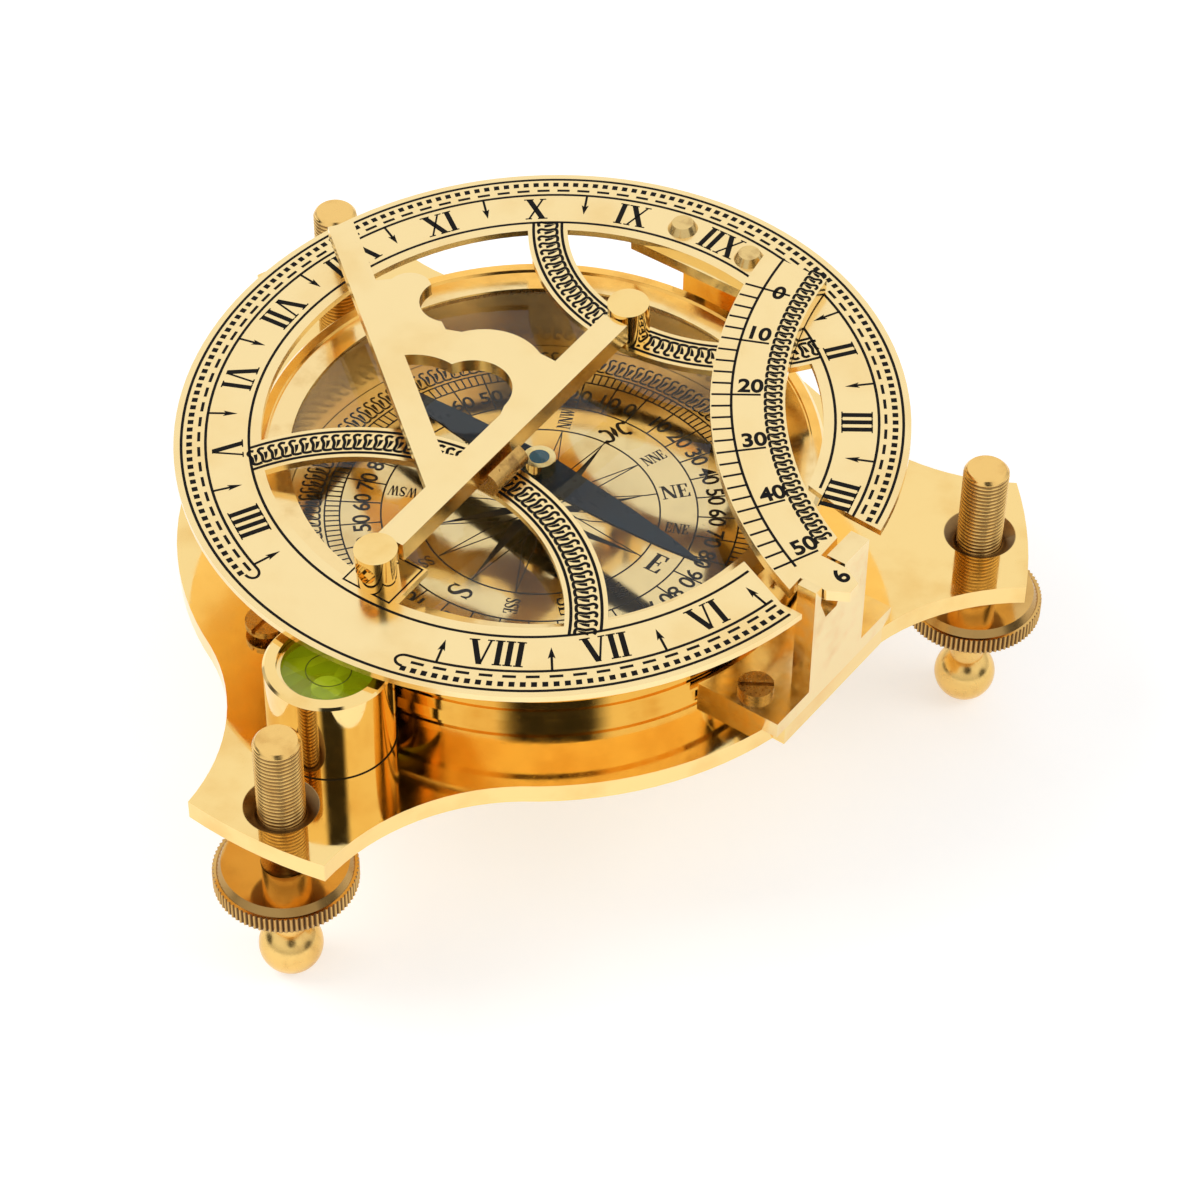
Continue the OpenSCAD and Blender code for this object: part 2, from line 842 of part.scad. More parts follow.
// turned post with a cross hole, facing outwards
module post(at, out) {
  color(brass)
    on_ring()
      translate([0, at, 0])
        difference() {
          cylinder(r = post_r, h = post_up);
          translate([0, -post_r - 1, gnomon_up])
            rotate([-90, 0, 0])
              cylinder(r = gnomon_pin_r + fit, h = post_d + 2);
          translate([0, out > 0 ? pin_mouth_r : -pin_mouth_r - post_r, gnomon_up])
            rotate([-90, 0, 0])
              cylinder(r = pin_mouth_r, h = post_r);
        }
}

module gnomon_rest() {
  color(brass)
    on_ring()
      difference() {
        union() {
          translate([-rest_west, -south_spoke_at - rest_len / 2, 0])
            cube([rest_w, rest_len, rest_h]);
          translate([rest_roll[0], -south_spoke_at - rest_len / 2, rest_roll[1]])
            rotate([-90, 0, 0])
              cylinder(r = rest_roll_r, h = rest_len);
        }
        translate([0, -south_spoke_at - rest_len, gnomon_up])
          rotate([-90, 0, 0])
            cylinder(r = norm([bar_half, bar_t / 2]) + pass, h = 2 * rest_len);
        translate([-2 * rest_w, -south_spoke_at - rest_len, -rest_h])
          cube([4 * rest_w, 2 * rest_len, rest_h]);
      }
}

module latitude_arc() {
  color(pale_brass)
    on_ring()
      difference() {
        translate([0, 0, arc_low])
          linear_extrude(arc_t) {
            intersection() {
              translate([arc_cx, arc_cy])
                difference() {
                  circle(arc_out, $fn = 180);
                  circle(arc_in, $fn = 180);
                }
              translate([0, -style_foot])
                square([body_end, style_foot + arc_end]);
              translate([corner_at, 0])
                rotate(corner_turn)
                  translate([-2 * arc_out, -2 * arc_out])
                    square([4 * arc_out, 2 * arc_out + arc_end - 1]);
            }
            translate([body_end - 4, -tail_at - tail_half])
              square([arc_pin_x - body_end + 4, tail_w]);
            translate([arc_pin_x, -tail_at])
              polygon([[-eps, -tail_half], [tail_step, -tail_half], [tail_past, -tail_tip_half],
                [tail_past, tail_tip_half], [tail_step, tail_half], [-eps, tail_half]]);
          }
        translate([arc_pin_x, -tail_at - tail_half - 1, arc_mid])
          rotate([-90, 0, 0])
            cylinder(r = arc_pin_r + fit, h = tail_w + 2, $fn = 32);
      }
}

module arc_pin() {
  color(brass)
    on_ring()
      translate([arc_pin_x, -tail_at - tail_half - arc_pin_lug, arc_mid])
        rotate([-90, 0, 0])
          cylinder(r = arc_pin_r, h = arc_pin_len, $fn = 32);
}

module arc_bracket() {
  color(brass)
    difference() {
      union() {
        difference() {
          translate([bracket_out - foot_deep, -foot_half, arm_top])
            cube([foot_deep, 2 * foot_half, foot_t]);
          on_compass(arm_top - 1)
            cylinder(r = flange_r + pass, h = foot_t + 2, $fn = 180);
        }
        translate([bracket_out, 0, 0])
          rotate([90, 0, -90])
            linear_extrude(bracket_t)
              polygon([[-bracket_half, arm_top], [bracket_half, arm_top],
                [bracket_half, fork_top], [-bracket_half, fork_top]]);
      }
      translate([bracket_out + 1, 0, 0])
        rotate([90, 0, -90])
          linear_extrude(bracket_t + 2)
            polygon([[-pin_y - slot_half, fork_top + 1], [-pin_y - slot_half, pin_z - 2.5],
              [-pin_y - 1.6, pin_z - tail_past - 0.7], [-pin_y + 1.6, pin_z - tail_past - 0.7],
              [-pin_y + slot_half, pin_z - 2.5], [-pin_y + slot_half, fork_top + 1]]);
      on_ring()
        translate([arc_pin_x, -tail_at - tail_half - arc_pin_lug - eps, arc_mid])
          rotate([-90, 0, 0])
            cylinder(r = arc_pin_r + fit, h = arc_pin_len + 2 * eps, $fn = 32);
      at_bracket_screws(arm_top - 1)
        cylinder(r = screw_r + fit, h = foot_t + 2);
    }
}

module bracket_screws() {
  color(brass)
    at_bracket_screws(arm_top + foot_t) {
      rotate(35)
        slotted_head();
      translate([0, 0, -foot_t - base_t])
        cylinder(r = screw_r, h = foot_t + base_t + eps);
    }
}

module level_cup() {
  color(brass)
    on_level(arm_top)
      difference() {
        union() {
          cylinder(r = level_r, h = level_h - 0.4);
          translate([0, 0, level_h - 0.4])
            cylinder(r1 = level_r, r2 = level_r - 0.4, h = 0.4);
        }
        translate([0, 0, level_floor - arm_top])
          cylinder(r = level_bore, h = level_h);
        translate([0, 0, -eps])
          cylinder(r = cup_screw_r + fit, h = cup_screw_bite + 0.4);
      }
}

module level_fluid() {
  color([0.62, 0.78, 0.08])
    on_level(level_floor)
      difference() {
        cylinder(r = level_bore - vial_play, h = level_glass_low - level_floor);
        translate([bubble_off[0], bubble_off[1], level_glass_low - level_floor - bubble_t])
          cylinder(r = bubble_r + fit, h = 2 * bubble_t);
      }
}

module level_bubble() {
  color([0.8, 0.92, 0.3, 0.5])
    on_level(level_glass_low - bubble_t)
      translate(bubble_off)
        cylinder(r = bubble_r, h = bubble_t);
}

module level_glass() {
  color([0.85, 0.95, 0.6, 0.35])
    on_level(level_glass_low)
      cylinder(r = level_bore - vial_play, h = level_glass_t);
}

module level_retainer() {
  color(brass)
    on_level(level_glass_low + level_glass_t)
      difference() {
        cylinder(r = level_bore - vial_play, h = retainer_t);
        translate([0, 0, -eps])
          cylinder(r = level_bore - vial_play - retainer_w, h = 2 * retainer_t);
      }
}

module level_screw() {
  color(brass)
    on_level(arm_top - base_t) {
      cylinder(r = cup_screw_r, h = base_t + cup_screw_bite);
      rotate([180, 0, 0])
        cylinder(r = head_r + flange_overlap, h = head_t + 0.4);
    }
}

base_plate();
levelling_screw(south_arm);  // screw_s
levelling_screw(east_arm);  // screw_e
levelling_screw(west_arm);  // screw_w
thumb_wheel(south_arm);  // wheel_s
thumb_wheel(east_arm);  // wheel_e
thumb_wheel(west_arm);  // wheel_w
ball_foot(south_arm);  // foot_s
ball_foot(east_arm);  // foot_e
ball_foot(west_arm);  // foot_w
compass_housing();
housing_screws();
compass_dial();
pivot_pin();
needle();
needle_cap();
needle_jewel();
glass_seat();
glass();
bezel();
hour_ring();
hinge_leaf();
hinge_rivets();
hinge_block();
hinge_pin();
hinge_screws();
gnomon();
gnomon_pins();
post(-south_post_at, -1);  // post_south
post(north_post_at, 1);  // post_north
gnomon_rest();
latitude_arc();
arc_pin();
arc_bracket();
bracket_screws();
level_cup();
level_fluid();
level_bubble();
level_glass();
level_retainer();
level_screw();
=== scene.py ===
"""Looks of a brass sundial compass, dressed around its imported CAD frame.

Sizes inside the sub-assemblies are millimetres on the part's own planes, those of finishes and
of the studio are metres. The frame's axes are +Z up, +Y north, +X east.
"""

import functools
import json
import logging
import math
from collections.abc import Sequence
from dataclasses import dataclass, field
from enum import Enum
from typing import ClassVar

import bmesh
import bpy
from mathutils import Matrix, Vector

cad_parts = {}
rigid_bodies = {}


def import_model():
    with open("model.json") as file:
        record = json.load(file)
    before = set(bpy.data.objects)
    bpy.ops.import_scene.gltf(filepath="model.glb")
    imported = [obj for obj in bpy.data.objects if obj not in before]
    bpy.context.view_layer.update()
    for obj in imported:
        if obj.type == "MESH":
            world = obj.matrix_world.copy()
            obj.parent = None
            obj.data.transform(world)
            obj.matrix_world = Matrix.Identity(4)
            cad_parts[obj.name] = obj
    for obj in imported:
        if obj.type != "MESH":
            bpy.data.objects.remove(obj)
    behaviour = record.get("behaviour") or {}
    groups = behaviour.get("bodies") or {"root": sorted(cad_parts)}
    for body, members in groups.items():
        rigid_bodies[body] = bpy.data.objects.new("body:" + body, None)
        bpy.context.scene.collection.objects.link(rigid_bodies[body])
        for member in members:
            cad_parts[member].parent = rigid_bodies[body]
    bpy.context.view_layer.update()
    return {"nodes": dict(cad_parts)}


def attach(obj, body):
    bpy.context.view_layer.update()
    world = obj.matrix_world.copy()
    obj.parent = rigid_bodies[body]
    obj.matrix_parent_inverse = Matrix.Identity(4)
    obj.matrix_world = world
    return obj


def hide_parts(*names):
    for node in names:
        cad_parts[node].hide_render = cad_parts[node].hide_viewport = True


LOG = logging.getLogger("sundial_compass")
MM = 0.001
WHOLE_TURN = (0.0, 360.0)

Point = tuple[float, float]
Colour = tuple[float, float, float]
Place = tuple[float, float, float]
Stroke = tuple[float, float, float]
Ray = tuple[float, float, float]
Outline = list[Point]
Nodes = dict[str, bpy.types.Object]
Socket = bpy.types.NodeSocket
Value = Socket | float | Sequence[float]
Inputs = dict[str | int, Value]


class Body(Enum):
    """Moving groups of the part that carry new pieces."""

    BASE = "base"
    RING = "ring"
    ARC = "arc"
    SOUTH_SCREW = "south_screw"
    EAST_SCREW = "east_screw"
    WEST_SCREW = "west_screw"


class Slot(Enum):
    """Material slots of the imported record."""

    BRASS = "brass"


class Side(Enum):
    """Which way the top of a word points on a round scale."""

    INWARD = "inward"
    OUTWARD = "outward"
    ROUND = "round"


@dataclass
class Shader:
    """The node tree of a material or of the world, with short calls to add nodes."""

    RANGE: ClassVar[tuple[str, ...]] = ("Value", "From Min", "From Max", "To Min", "To Max")

    owner: bpy.types.Material | bpy.types.World

    def __post_init__(self) -> None:
        """Empties the tree."""
        self.owner.use_nodes = True
        self.owner.node_tree.nodes.clear()

    @classmethod
    def new(cls, name: str) -> "Shader":
        """Starts a new material."""
        return cls(bpy.data.materials.new(name))

    def add(self, kind: str, inputs: Inputs, **settings: object) -> bpy.types.Node:
        """Adds a node.

        Args:
            kind: node type without its prefix.
            inputs: numbers or other nodes' outputs, by the input's name or place.
            **settings: attributes of the node.

        Returns:
            The new node.
        """
        tree = self.owner.node_tree
        node = tree.nodes.new("ShaderNode" + kind)
        for key, setting in settings.items():
            setattr(node, key, setting)
        for key, value in inputs.items():
            if isinstance(value, Socket):
                tree.links.new(value, node.inputs[key])
            else:
                node.inputs[key].default_value = value
        return node

    def result(
        self, kind: str, inputs: Inputs, output: str | int = 0, **settings: object
    ) -> Socket:
        """Adds a node and gives one of its outputs, by name or place."""
        return self.add(kind, inputs, **settings).outputs[output]

    def math(self, operation: str, *values: Value) -> Socket:
        """Reckons with numbers and outputs."""
        return self.result("Math", dict(enumerate(values)), operation=operation)

    def place(self, kind: str = "Object") -> Socket:
        """Gives the coordinates of a kind, which are the frame's for Object."""
        return self.result("TexCoord", {}, kind)

    def upright(self, kind: str = "Object") -> Socket:
        """Gives the upright part of the coordinates of a kind."""
        return self.result("SeparateXYZ", {0: self.place(kind)}, "Z")

    def ray(self, kind: str) -> Socket:
        """Tells whether a ray is of a kind."""
        return self.result("LightPath", {}, kind)

    def noise(self, cells: float, octaves: float, stretch: Place = (1, 1, 1)) -> Socket:
        """Adds noise in the part's own coordinates, with its cells counted per metre."""
        spot = self.result("Mapping", {"Vector": self.place(), "Scale": stretch})
        return self.result("TexNoise", {"Vector": spot, "Scale": cells, "Detail": octaves}, "Fac")

    def nearest(self, middles: Sequence[Point]) -> Socket:
        """Measures the level distance to the nearest of some upright axes.

        Args:
            middles: places of the axes, in metres.

        Returns:
            The distance in metres.
        """
        flat = self.result("VectorMath", {0: self.place(), 1: (1, 1, 0)}, operation="MULTIPLY")
        least, *others = (
            self.result("VectorMath", {0: flat, 1: (*middle, 0)}, "Value", operation="DISTANCE")
            for middle in middles
        )
        for other in others:
            least = self.math("MINIMUM", least, other)
        return least

    def remap(self, value: Socket, span: Point, to: Point = (0.0, 1.0)) -> Socket:
        """Maps a span of values smoothly to another."""
        inputs = dict(zip(self.RANGE, (value, *span, *to)))
        return self.result("MapRange", inputs, interpolation_type="SMOOTHSTEP")

    def choose(self, share: Socket, low: Value, high: Value, kind: str = "FLOAT") -> Socket:
        """Mixes two values of a kind by a share of the second."""
        inputs = {"Factor": share, "A": low, "B": high}
        return self.result("Mix", inputs, "Result", data_type=kind)

    def blend(self, share: Socket, low: Colour | Socket, high: Colour) -> Socket:
        """Mixes two colours by a share of the second."""
        first = low if isinstance(low, Socket) else (*low, 1)
        return self.choose(share, first, (*high, 1), "RGBA")

    def bump(self, height: Socket, strength: float, depth: float, **under: Socket) -> Socket:
        """Gives the normal of a bump of a depth in metres, over another normal if there is one."""
        inputs = {"Height": height, "Strength": strength, "Distance": depth, **under}
        return self.result("Bump", inputs)

    def surface(self, shader: Socket) -> bpy.types.Material | bpy.types.World:
        """Joins a shader to the output and returns what it belongs to."""
        world = isinstance(self.owner, bpy.types.World)
        self.add("OutputWorld" if world else "OutputMaterial", {"Surface": shader})
        return self.owner


@dataclass(frozen=True)
class BrassFinish:
    """Brass with tarnish clouds, hairlines and small casting pits.

    Attributes:
        name: material name.
        colour: clean metal.
        tarnish: metal where it is handled or left unpolished.
        gloss: lowest and highest roughness.
        cloud: cells of tarnish per metre.
        hairline: strength of the fine scratches.
        pits: strength of the casting pits.
        pit_depth: depth of the pits in metres.
        stain: colour of painted shade, where shade falls in hollows, grooves and mouths.
        stain_gloss: roughness added where the shade is painted.
    """

    CLOUD_SPAN: ClassVar[Point] = (0.46, 0.78)
    SMUDGE_SPAN: ClassVar[Point] = (0.3, 0.75)
    PIT_SPAN: ClassVar[Point] = (0.70, 0.80)
    PIT_CELLS: ClassVar[float] = 1500
    HAIR_CELLS: ClassVar[float] = 2600
    HAIR_STRETCH: ClassVar[Place] = (1, 0.06, 0.4)
    HAIR_DEPTH: ClassVar[float] = 0.00001

    name: str
    colour: Colour
    tarnish: Colour
    gloss: Point
    cloud: float = 90
    hairline: float = 0.05
    pits: float = 0.08
    pit_depth: float = 0.00003
    # Colour and roughness of painted shade in hollows and grooves.
    stain: Colour = (0.20, 0.11, 0.045)
    stain_gloss: float = 0.3

    def stained(self, shader: Shader) -> Socket | None:
        """Gives the share of painted shade on the surface, if there is any."""
        return None

    def material(self) -> bpy.types.Material:
        """Builds the material."""
        shader = Shader.new(self.name)
        clouds = shader.remap(shader.noise(self.cloud, 6), self.CLOUD_SPAN)
        colour = shader.blend(clouds, self.colour, self.tarnish)
        gloss = shader.remap(shader.noise(self.cloud * 4, 4), self.SMUDGE_SPAN, self.gloss)
        # Painted shade: darker, rougher brass where shade falls in hollows and grooves.
        stained = self.stained(shader)
        if stained is not None:
            colour = shader.blend(stained, colour, self.stain)
            gloss = shader.math("MULTIPLY_ADD", stained, self.stain_gloss, gloss)
        hairs = shader.noise(self.HAIR_CELLS, 2, self.HAIR_STRETCH)
        lines = shader.bump(hairs, self.hairline, self.HAIR_DEPTH)
        specks = shader.remap(shader.noise(self.PIT_CELLS, 1), self.PIT_SPAN, (1.0, 0.0))
        normal = shader.bump(specks, self.pits, self.pit_depth, Normal=lines)
        metal = {"Base Color": colour, "Metallic": 1.0, "Roughness": gloss, "Normal": normal}
        return shader.surface(shader.result("BsdfPrincipled", metal))


@dataclass(frozen=True)
class MouthBrass(BrassFinish):
    """Brass with painted shade inside round mouths.

    Attributes:
        mouths: middles of the mouths, in metres.
        mouth_r: radius of a mouth, in metres.
        ceiling: height above which no shade is painted, in metres.
    """

    EDGE: ClassVar[Point] = (0.97, 1.02)
    SHARES: ClassVar[Point] = (0.9, 0.0)

    mouths: tuple[Point, ...] = ()
    mouth_r: float = 0.0062
    ceiling: float = 1.0

    def stained(self, shader: Shader) -> Socket | None:
        """Gives the share of painted shade: most inside each mouth."""
        edge = (self.mouth_r * self.EDGE[0], self.mouth_r * self.EDGE[1])
        share = shader.remap(shader.nearest(self.mouths), edge, self.SHARES)
        return shader.math(
            "MULTIPLY", share, shader.math("LESS_THAN", shader.upright(), self.ceiling)
        )


@dataclass(frozen=True)
class RimBrass(BrassFinish):
    """Brass polished on its flats, with painted shade round its knurled side: full in the grooves,
    slight on the teeth.

    Attributes:
        middles: middles of the wheels, in metres.
        knurl: radii of the grooves and of the teeth, in metres.
        tooth: share of painted shade on the teeth.
    """

    SLOPE: ClassVar[Point] = (0.2, 0.76)

    middles: tuple[Point, ...] = ()
    knurl: Point = (0.01172, 0.01194)
    tooth: float = 0.1

    def stained(self, shader: Shader) -> Socket | None:
        """Gives the share of painted shade where the face points sideways: full in the grooves."""
        level = shader.math("ABSOLUTE", shader.upright("Normal"))
        sideways = shader.remap(level, self.SLOPE, (1.0, 0.0))
        teeth = shader.remap(shader.nearest(self.middles), self.knurl, (1.0, self.tooth))
        return shader.math("MULTIPLY", sideways, teeth)


@dataclass(frozen=True)
class PaintFinish:
    """An opaque coat with slight unevenness.

    Attributes:
        name: material name.
        colour: main colour.
        worn: colour where the coat is thin.
        gloss: lowest and highest roughness.
        grain: cells of unevenness per metre.
        relief: strength of its bump.
        glow: painted light: emission that brightens the coat though it is no lamp.
        shine: strength of the sheen on top.
    """

    WORN_SPAN: ClassVar[Point] = (0.5, 0.8)
    GLOSS_SPAN: ClassVar[Point] = (0.3, 0.7)
    DEPTH: ClassVar[float] = 0.00004

    name: str
    colour: Colour
    worn: Colour
    gloss: Point
    grain: float = 700
    relief: float = 0.1
    glow: float = 0.0
    shine: float = 0.5

    def material(self) -> bpy.types.Material:
        """Builds the material."""
        shader = Shader.new(self.name)
        grain = shader.noise(self.grain, 5)
        worn = shader.remap(grain, self.WORN_SPAN)
        coat = {
            "Base Color": shader.blend(worn, self.colour, self.worn),
            "Roughness": shader.remap(grain, self.GLOSS_SPAN, self.gloss),
            "Normal": shader.bump(grain, self.relief, self.DEPTH),
            # Painted light: emission by the glow, which brightens the coat though it is no lamp.
            "Emission Color": (*self.colour, 1),
            "Emission Strength": self.glow,
            "Specular IOR Level": self.shine,
        }
        return shader.surface(shader.result("BsdfPrincipled", coat))


@dataclass(frozen=True)
class GlassFinish:
    """Clear or tinted glass that lets lamp light through to what lies under it.

    Attributes:
        name: material name.
        colour: tint.
        gloss: lowest and highest roughness.
        ior: refraction.
    """

    SMEAR_CELLS: ClassVar[float] = 160
    SMEAR_SPAN: ClassVar[Point] = (0.45, 0.8)
    DUST: ClassVar[float] = 0.96

    name: str
    colour: Colour
    gloss: Point = (0.0, 0.03)
    ior: float = 1.45

    def material(self) -> bpy.types.Material:
        """Builds the material: clear through, with a mirror on the outer face."""
        shader = Shader.new(self.name)
        smears = shader.noise(self.SMEAR_CELLS, 4)
        dusty = tuple(self.DUST * c for c in self.colour)
        tint = shader.blend(shader.remap(smears, self.SMEAR_SPAN), self.colour, dusty)
        through = shader.result("BsdfTransparent", {"Color": tint})
        gloss = shader.remap(smears, self.SMEAR_SPAN, self.gloss)
        mirror = shader.result("BsdfGlossy", {"Roughness": gloss})
        inner = shader.result("NewGeometry", {}, "Backfacing")
        edge = shader.result("Fresnel", {"IOR": self.ior})
        share = shader.math("MULTIPLY", edge, shader.remap(inner, (0.0, 1.0), (1.0, 0.0)))
        return shader.surface(shader.result("MixShader", {0: share, 1: through, 2: mirror}))


Finish = BrassFinish | PaintFinish | GlassFinish

SCREW_MIDDLES = ((0.0066936, -0.0765078), (0.0629109, 0.0440507), (-0.0696044, 0.0324571))
COMPASS_MIDDLE = (0.0, 0.0015)
GOLD = (0.95, 0.69, 0.28)
PALE_GOLD = (0.96, 0.75, 0.38)
DEEP_GOLD = (0.86, 0.54, 0.16)
MIRROR_BRASS = BrassFinish("mirror_brass", GOLD, DEEP_GOLD, (0.04, 0.10))
# Painted shade: darker brass in the counterbores round the screw holes.
BASE_BRASS = MouthBrass(
    "base_brass", GOLD, (0.88, 0.58, 0.20), (0.04, 0.10), mouths=SCREW_MIDDLES
)
# Painted shade: darker brown brass on the bowl's inner wall, inside the compass mouth.
HOUSING_BRASS = MouthBrass(
    "housing_brass",
    GOLD,
    DEEP_GOLD,
    (0.05, 0.12),
    stain=(0.66, 0.46, 0.26),
    mouths=(COMPASS_MIDDLE,),
    mouth_r=0.0439,
)
# Painted shade: dark brown in the thread grooves, below the chamfer.
THREAD_BRASS = MouthBrass(
    "thread_brass",
    (0.90, 0.58, 0.19),
    (0.72, 0.42, 0.12),
    (0.17, 0.28),
    cloud=200,
    stain=(0.28, 0.15, 0.05),
    mouths=SCREW_MIDDLES,
    mouth_r=0.00384,
    ceiling=0.0531,
)
PLATE_BRASS = BrassFinish(
    "plate_brass", PALE_GOLD, (0.92, 0.67, 0.30), (0.16, 0.26), cloud=60, hairline=0.06, pits=0.06
)
BEZEL_BRASS = BrassFinish(
    "bezel_brass", (0.94, 0.71, 0.34), (0.80, 0.54, 0.22), (0.10, 0.18), cloud=160, hairline=0.08
)
BRACKET_BRASS = BrassFinish(
    "bracket_brass",
    (0.94, 0.73, 0.37),
    (0.84, 0.60, 0.27),
    (0.14, 0.26),
    cloud=120,
    hairline=0.06,
    pits=0.06,
)
TURNED_BRASS = BrassFinish(
    "turned_brass", (0.93, 0.71, 0.33), (0.78, 0.50, 0.18), (0.10, 0.20), cloud=200, hairline=0.12
)
BALL_BRASS = BrassFinish(
    "ball_brass", (0.88, 0.58, 0.19), (0.72, 0.43, 0.13), (0.20, 0.30), cloud=200, hairline=0.12
)
RIVET_BRASS = BrassFinish(
    "rivet_brass", (0.80, 0.57, 0.23), (0.50, 0.32, 0.12), (0.14, 0.28), cloud=400, hairline=0.1
)
# Colour darkened to paint the reflection of the shaded arm undersides on the wheel tops; painted
# shade in the knurl grooves.
WHEEL_BRASS = RimBrass(
    "wheel_brass",
    (0.70, 0.43, 0.14),
    (0.52, 0.29, 0.08),
    (0.08, 0.16),
    stain=(0.14, 0.07, 0.025),
    middles=SCREW_MIDDLES,
)
CAST_BRASS = BrassFinish(
    "cast_brass",
    (0.62, 0.37, 0.11),
    (0.28, 0.15, 0.05),
    (0.22, 0.45),
    cloud=500,
    hairline=0.2,
    pits=0.9,
    pit_depth=0.0003,
)
DIAL_BRASS = BrassFinish(
    "dial_brass", (0.92, 0.69, 0.35), (0.80, 0.53, 0.22), (0.06, 0.13), cloud=80
)
SEAT = BrassFinish(
    "brown_seat", (0.46, 0.27, 0.10), (0.22, 0.12, 0.05), (0.2, 0.4), cloud=300, hairline=0.1
)
ENAMEL = PaintFinish(
    "black_fill", (0.005, 0.004, 0.003), (0.022, 0.015, 0.008), (0.5, 0.7), shine=0.12
)
SEPIA = PaintFinish(
    "sepia_print", (0.022, 0.014, 0.007), (0.05, 0.03, 0.014), (0.3, 0.5), shine=0.15
)
BLUED = PaintFinish(
    "blued_steel",
    (0.004, 0.012, 0.024),
    (0.010, 0.026, 0.044),
    (0.24, 0.40),
    grain=260,
    relief=0.06,
    shine=0.25,
)
JEWEL = PaintFinish(
    "teal_jewel", (0.0, 0.07, 0.11), (0.01, 0.17, 0.23), (0.03, 0.10), grain=900, relief=0.02
)
# Painted light: the fluid glows to stand in for light reaching it under the shading ring.
SPIRIT = PaintFinish(
    "green_spirit",
    (0.34, 0.39, 0.006),
    (0.42, 0.50, 0.012),
    (0.05, 0.12),
    grain=120,
    relief=0.02,
    glow=0.3,
)
LEVEL_LINE = PaintFinish(
    "level_line", (0.12, 0.15, 0.01), (0.18, 0.22, 0.015), (0.2, 0.4), shine=0.2
)
# Painted light: the bubble glows like the fluid, to stand in for light reaching it.
BUBBLE = PaintFinish(
    "spirit_bubble",
    (0.40, 0.46, 0.02),
    (0.50, 0.58, 0.05),
    (0.02, 0.06),
    grain=160,
    relief=0.02,
    glow=0.34,
)
CLEAR = GlassFinish("clear_glass", (0.97, 0.98, 0.97))
VIAL = GlassFinish("vial_glass", (0.95, 0.98, 0.86))


@functools.cache
def coat(finish: Finish) -> bpy.types.Material:
    """Gives a finish's material, built at its first use."""
    return finish.material()


def polar(radius: float, bearing: float) -> Point:
    """Gives the point at a radius and a clockwise bearing from north, in degrees."""
    turn = math.radians(bearing)
    return radius * math.sin(turn), radius * math.cos(turn)


def turned(point: Point, turn: float, at: Point = (0, 0)) -> Point:
    """Turns a point counter-clockwise by degrees, then moves it."""
    c, s = math.cos(math.radians(turn)), math.sin(math.radians(turn))
    return at[0] + c * point[0] - s * point[1], at[1] + s * point[0] + c * point[1]


def spread(span: Point, parts: int) -> list[float]:
    """Gives both ends of a span and the places that divide it into equal parts."""
    return [span[0] + (span[1] - span[0]) * i / parts for i in range(parts + 1)]


def frame_place(x: float, y: float, z: float) -> Matrix:
    """Gives the matrix from millimetres about a place to metres in the frame."""
    return Matrix.Scale(MM, 4) @ Matrix.Translation((x, y, z))


def smooth_path(points: Sequence[Point], steps: int = 4) -> Outline:
    """Runs a smooth curve through points.

    Args:
        points: the points.
        steps: parts of the curve between two points.

    Returns:
        The denser path.
    """
    ends = [points[0], *points, points[-1]]
    path: Outline = []
    for i in range(1, len(ends) - 2):
        p0, p1, p2, p3 = (Vector(ends[i + k]) for k in (-1, 0, 1, 2))
        square = 2 * p0 - 5 * p1 + 4 * p2 - p3
        cube = 3 * p1 - p0 - 3 * p2 + p3
        for j in range(steps):
            t = j / steps
            spot = 0.5 * (2 * p1 + (p2 - p0) * t + square * t * t + cube * t**3)
            path.append((spot.x, spot.y))
    path.append(points[-1])
    return path


def word_turn(bearing: float, side: Side) -> float:
    """Gives the turn of a word at a bearing, counter-clockwise in degrees."""
    return {Side.INWARD: 180, Side.OUTWARD: 0, Side.ROUND: 90}[side] - bearing


def add_piece(mesh: bpy.types.Mesh, finish: Finish, body: Body) -> bpy.types.Object:
    """Makes a mesh a piece that rides on a body.

    Args:
        mesh: the mesh, which gives the piece its name.
        finish: the finish.
        body: the body that carries the piece.

    Returns:
        The piece.
    """
    mesh.materials.append(coat(finish))
    piece = bpy.data.objects.new(mesh.name, mesh)
    bpy.context.scene.collection.objects.link(piece)
    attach(piece, body.value)
    LOG.info("%s: %d faces on %s", piece.name, len(mesh.polygons), body.value)
    return piece


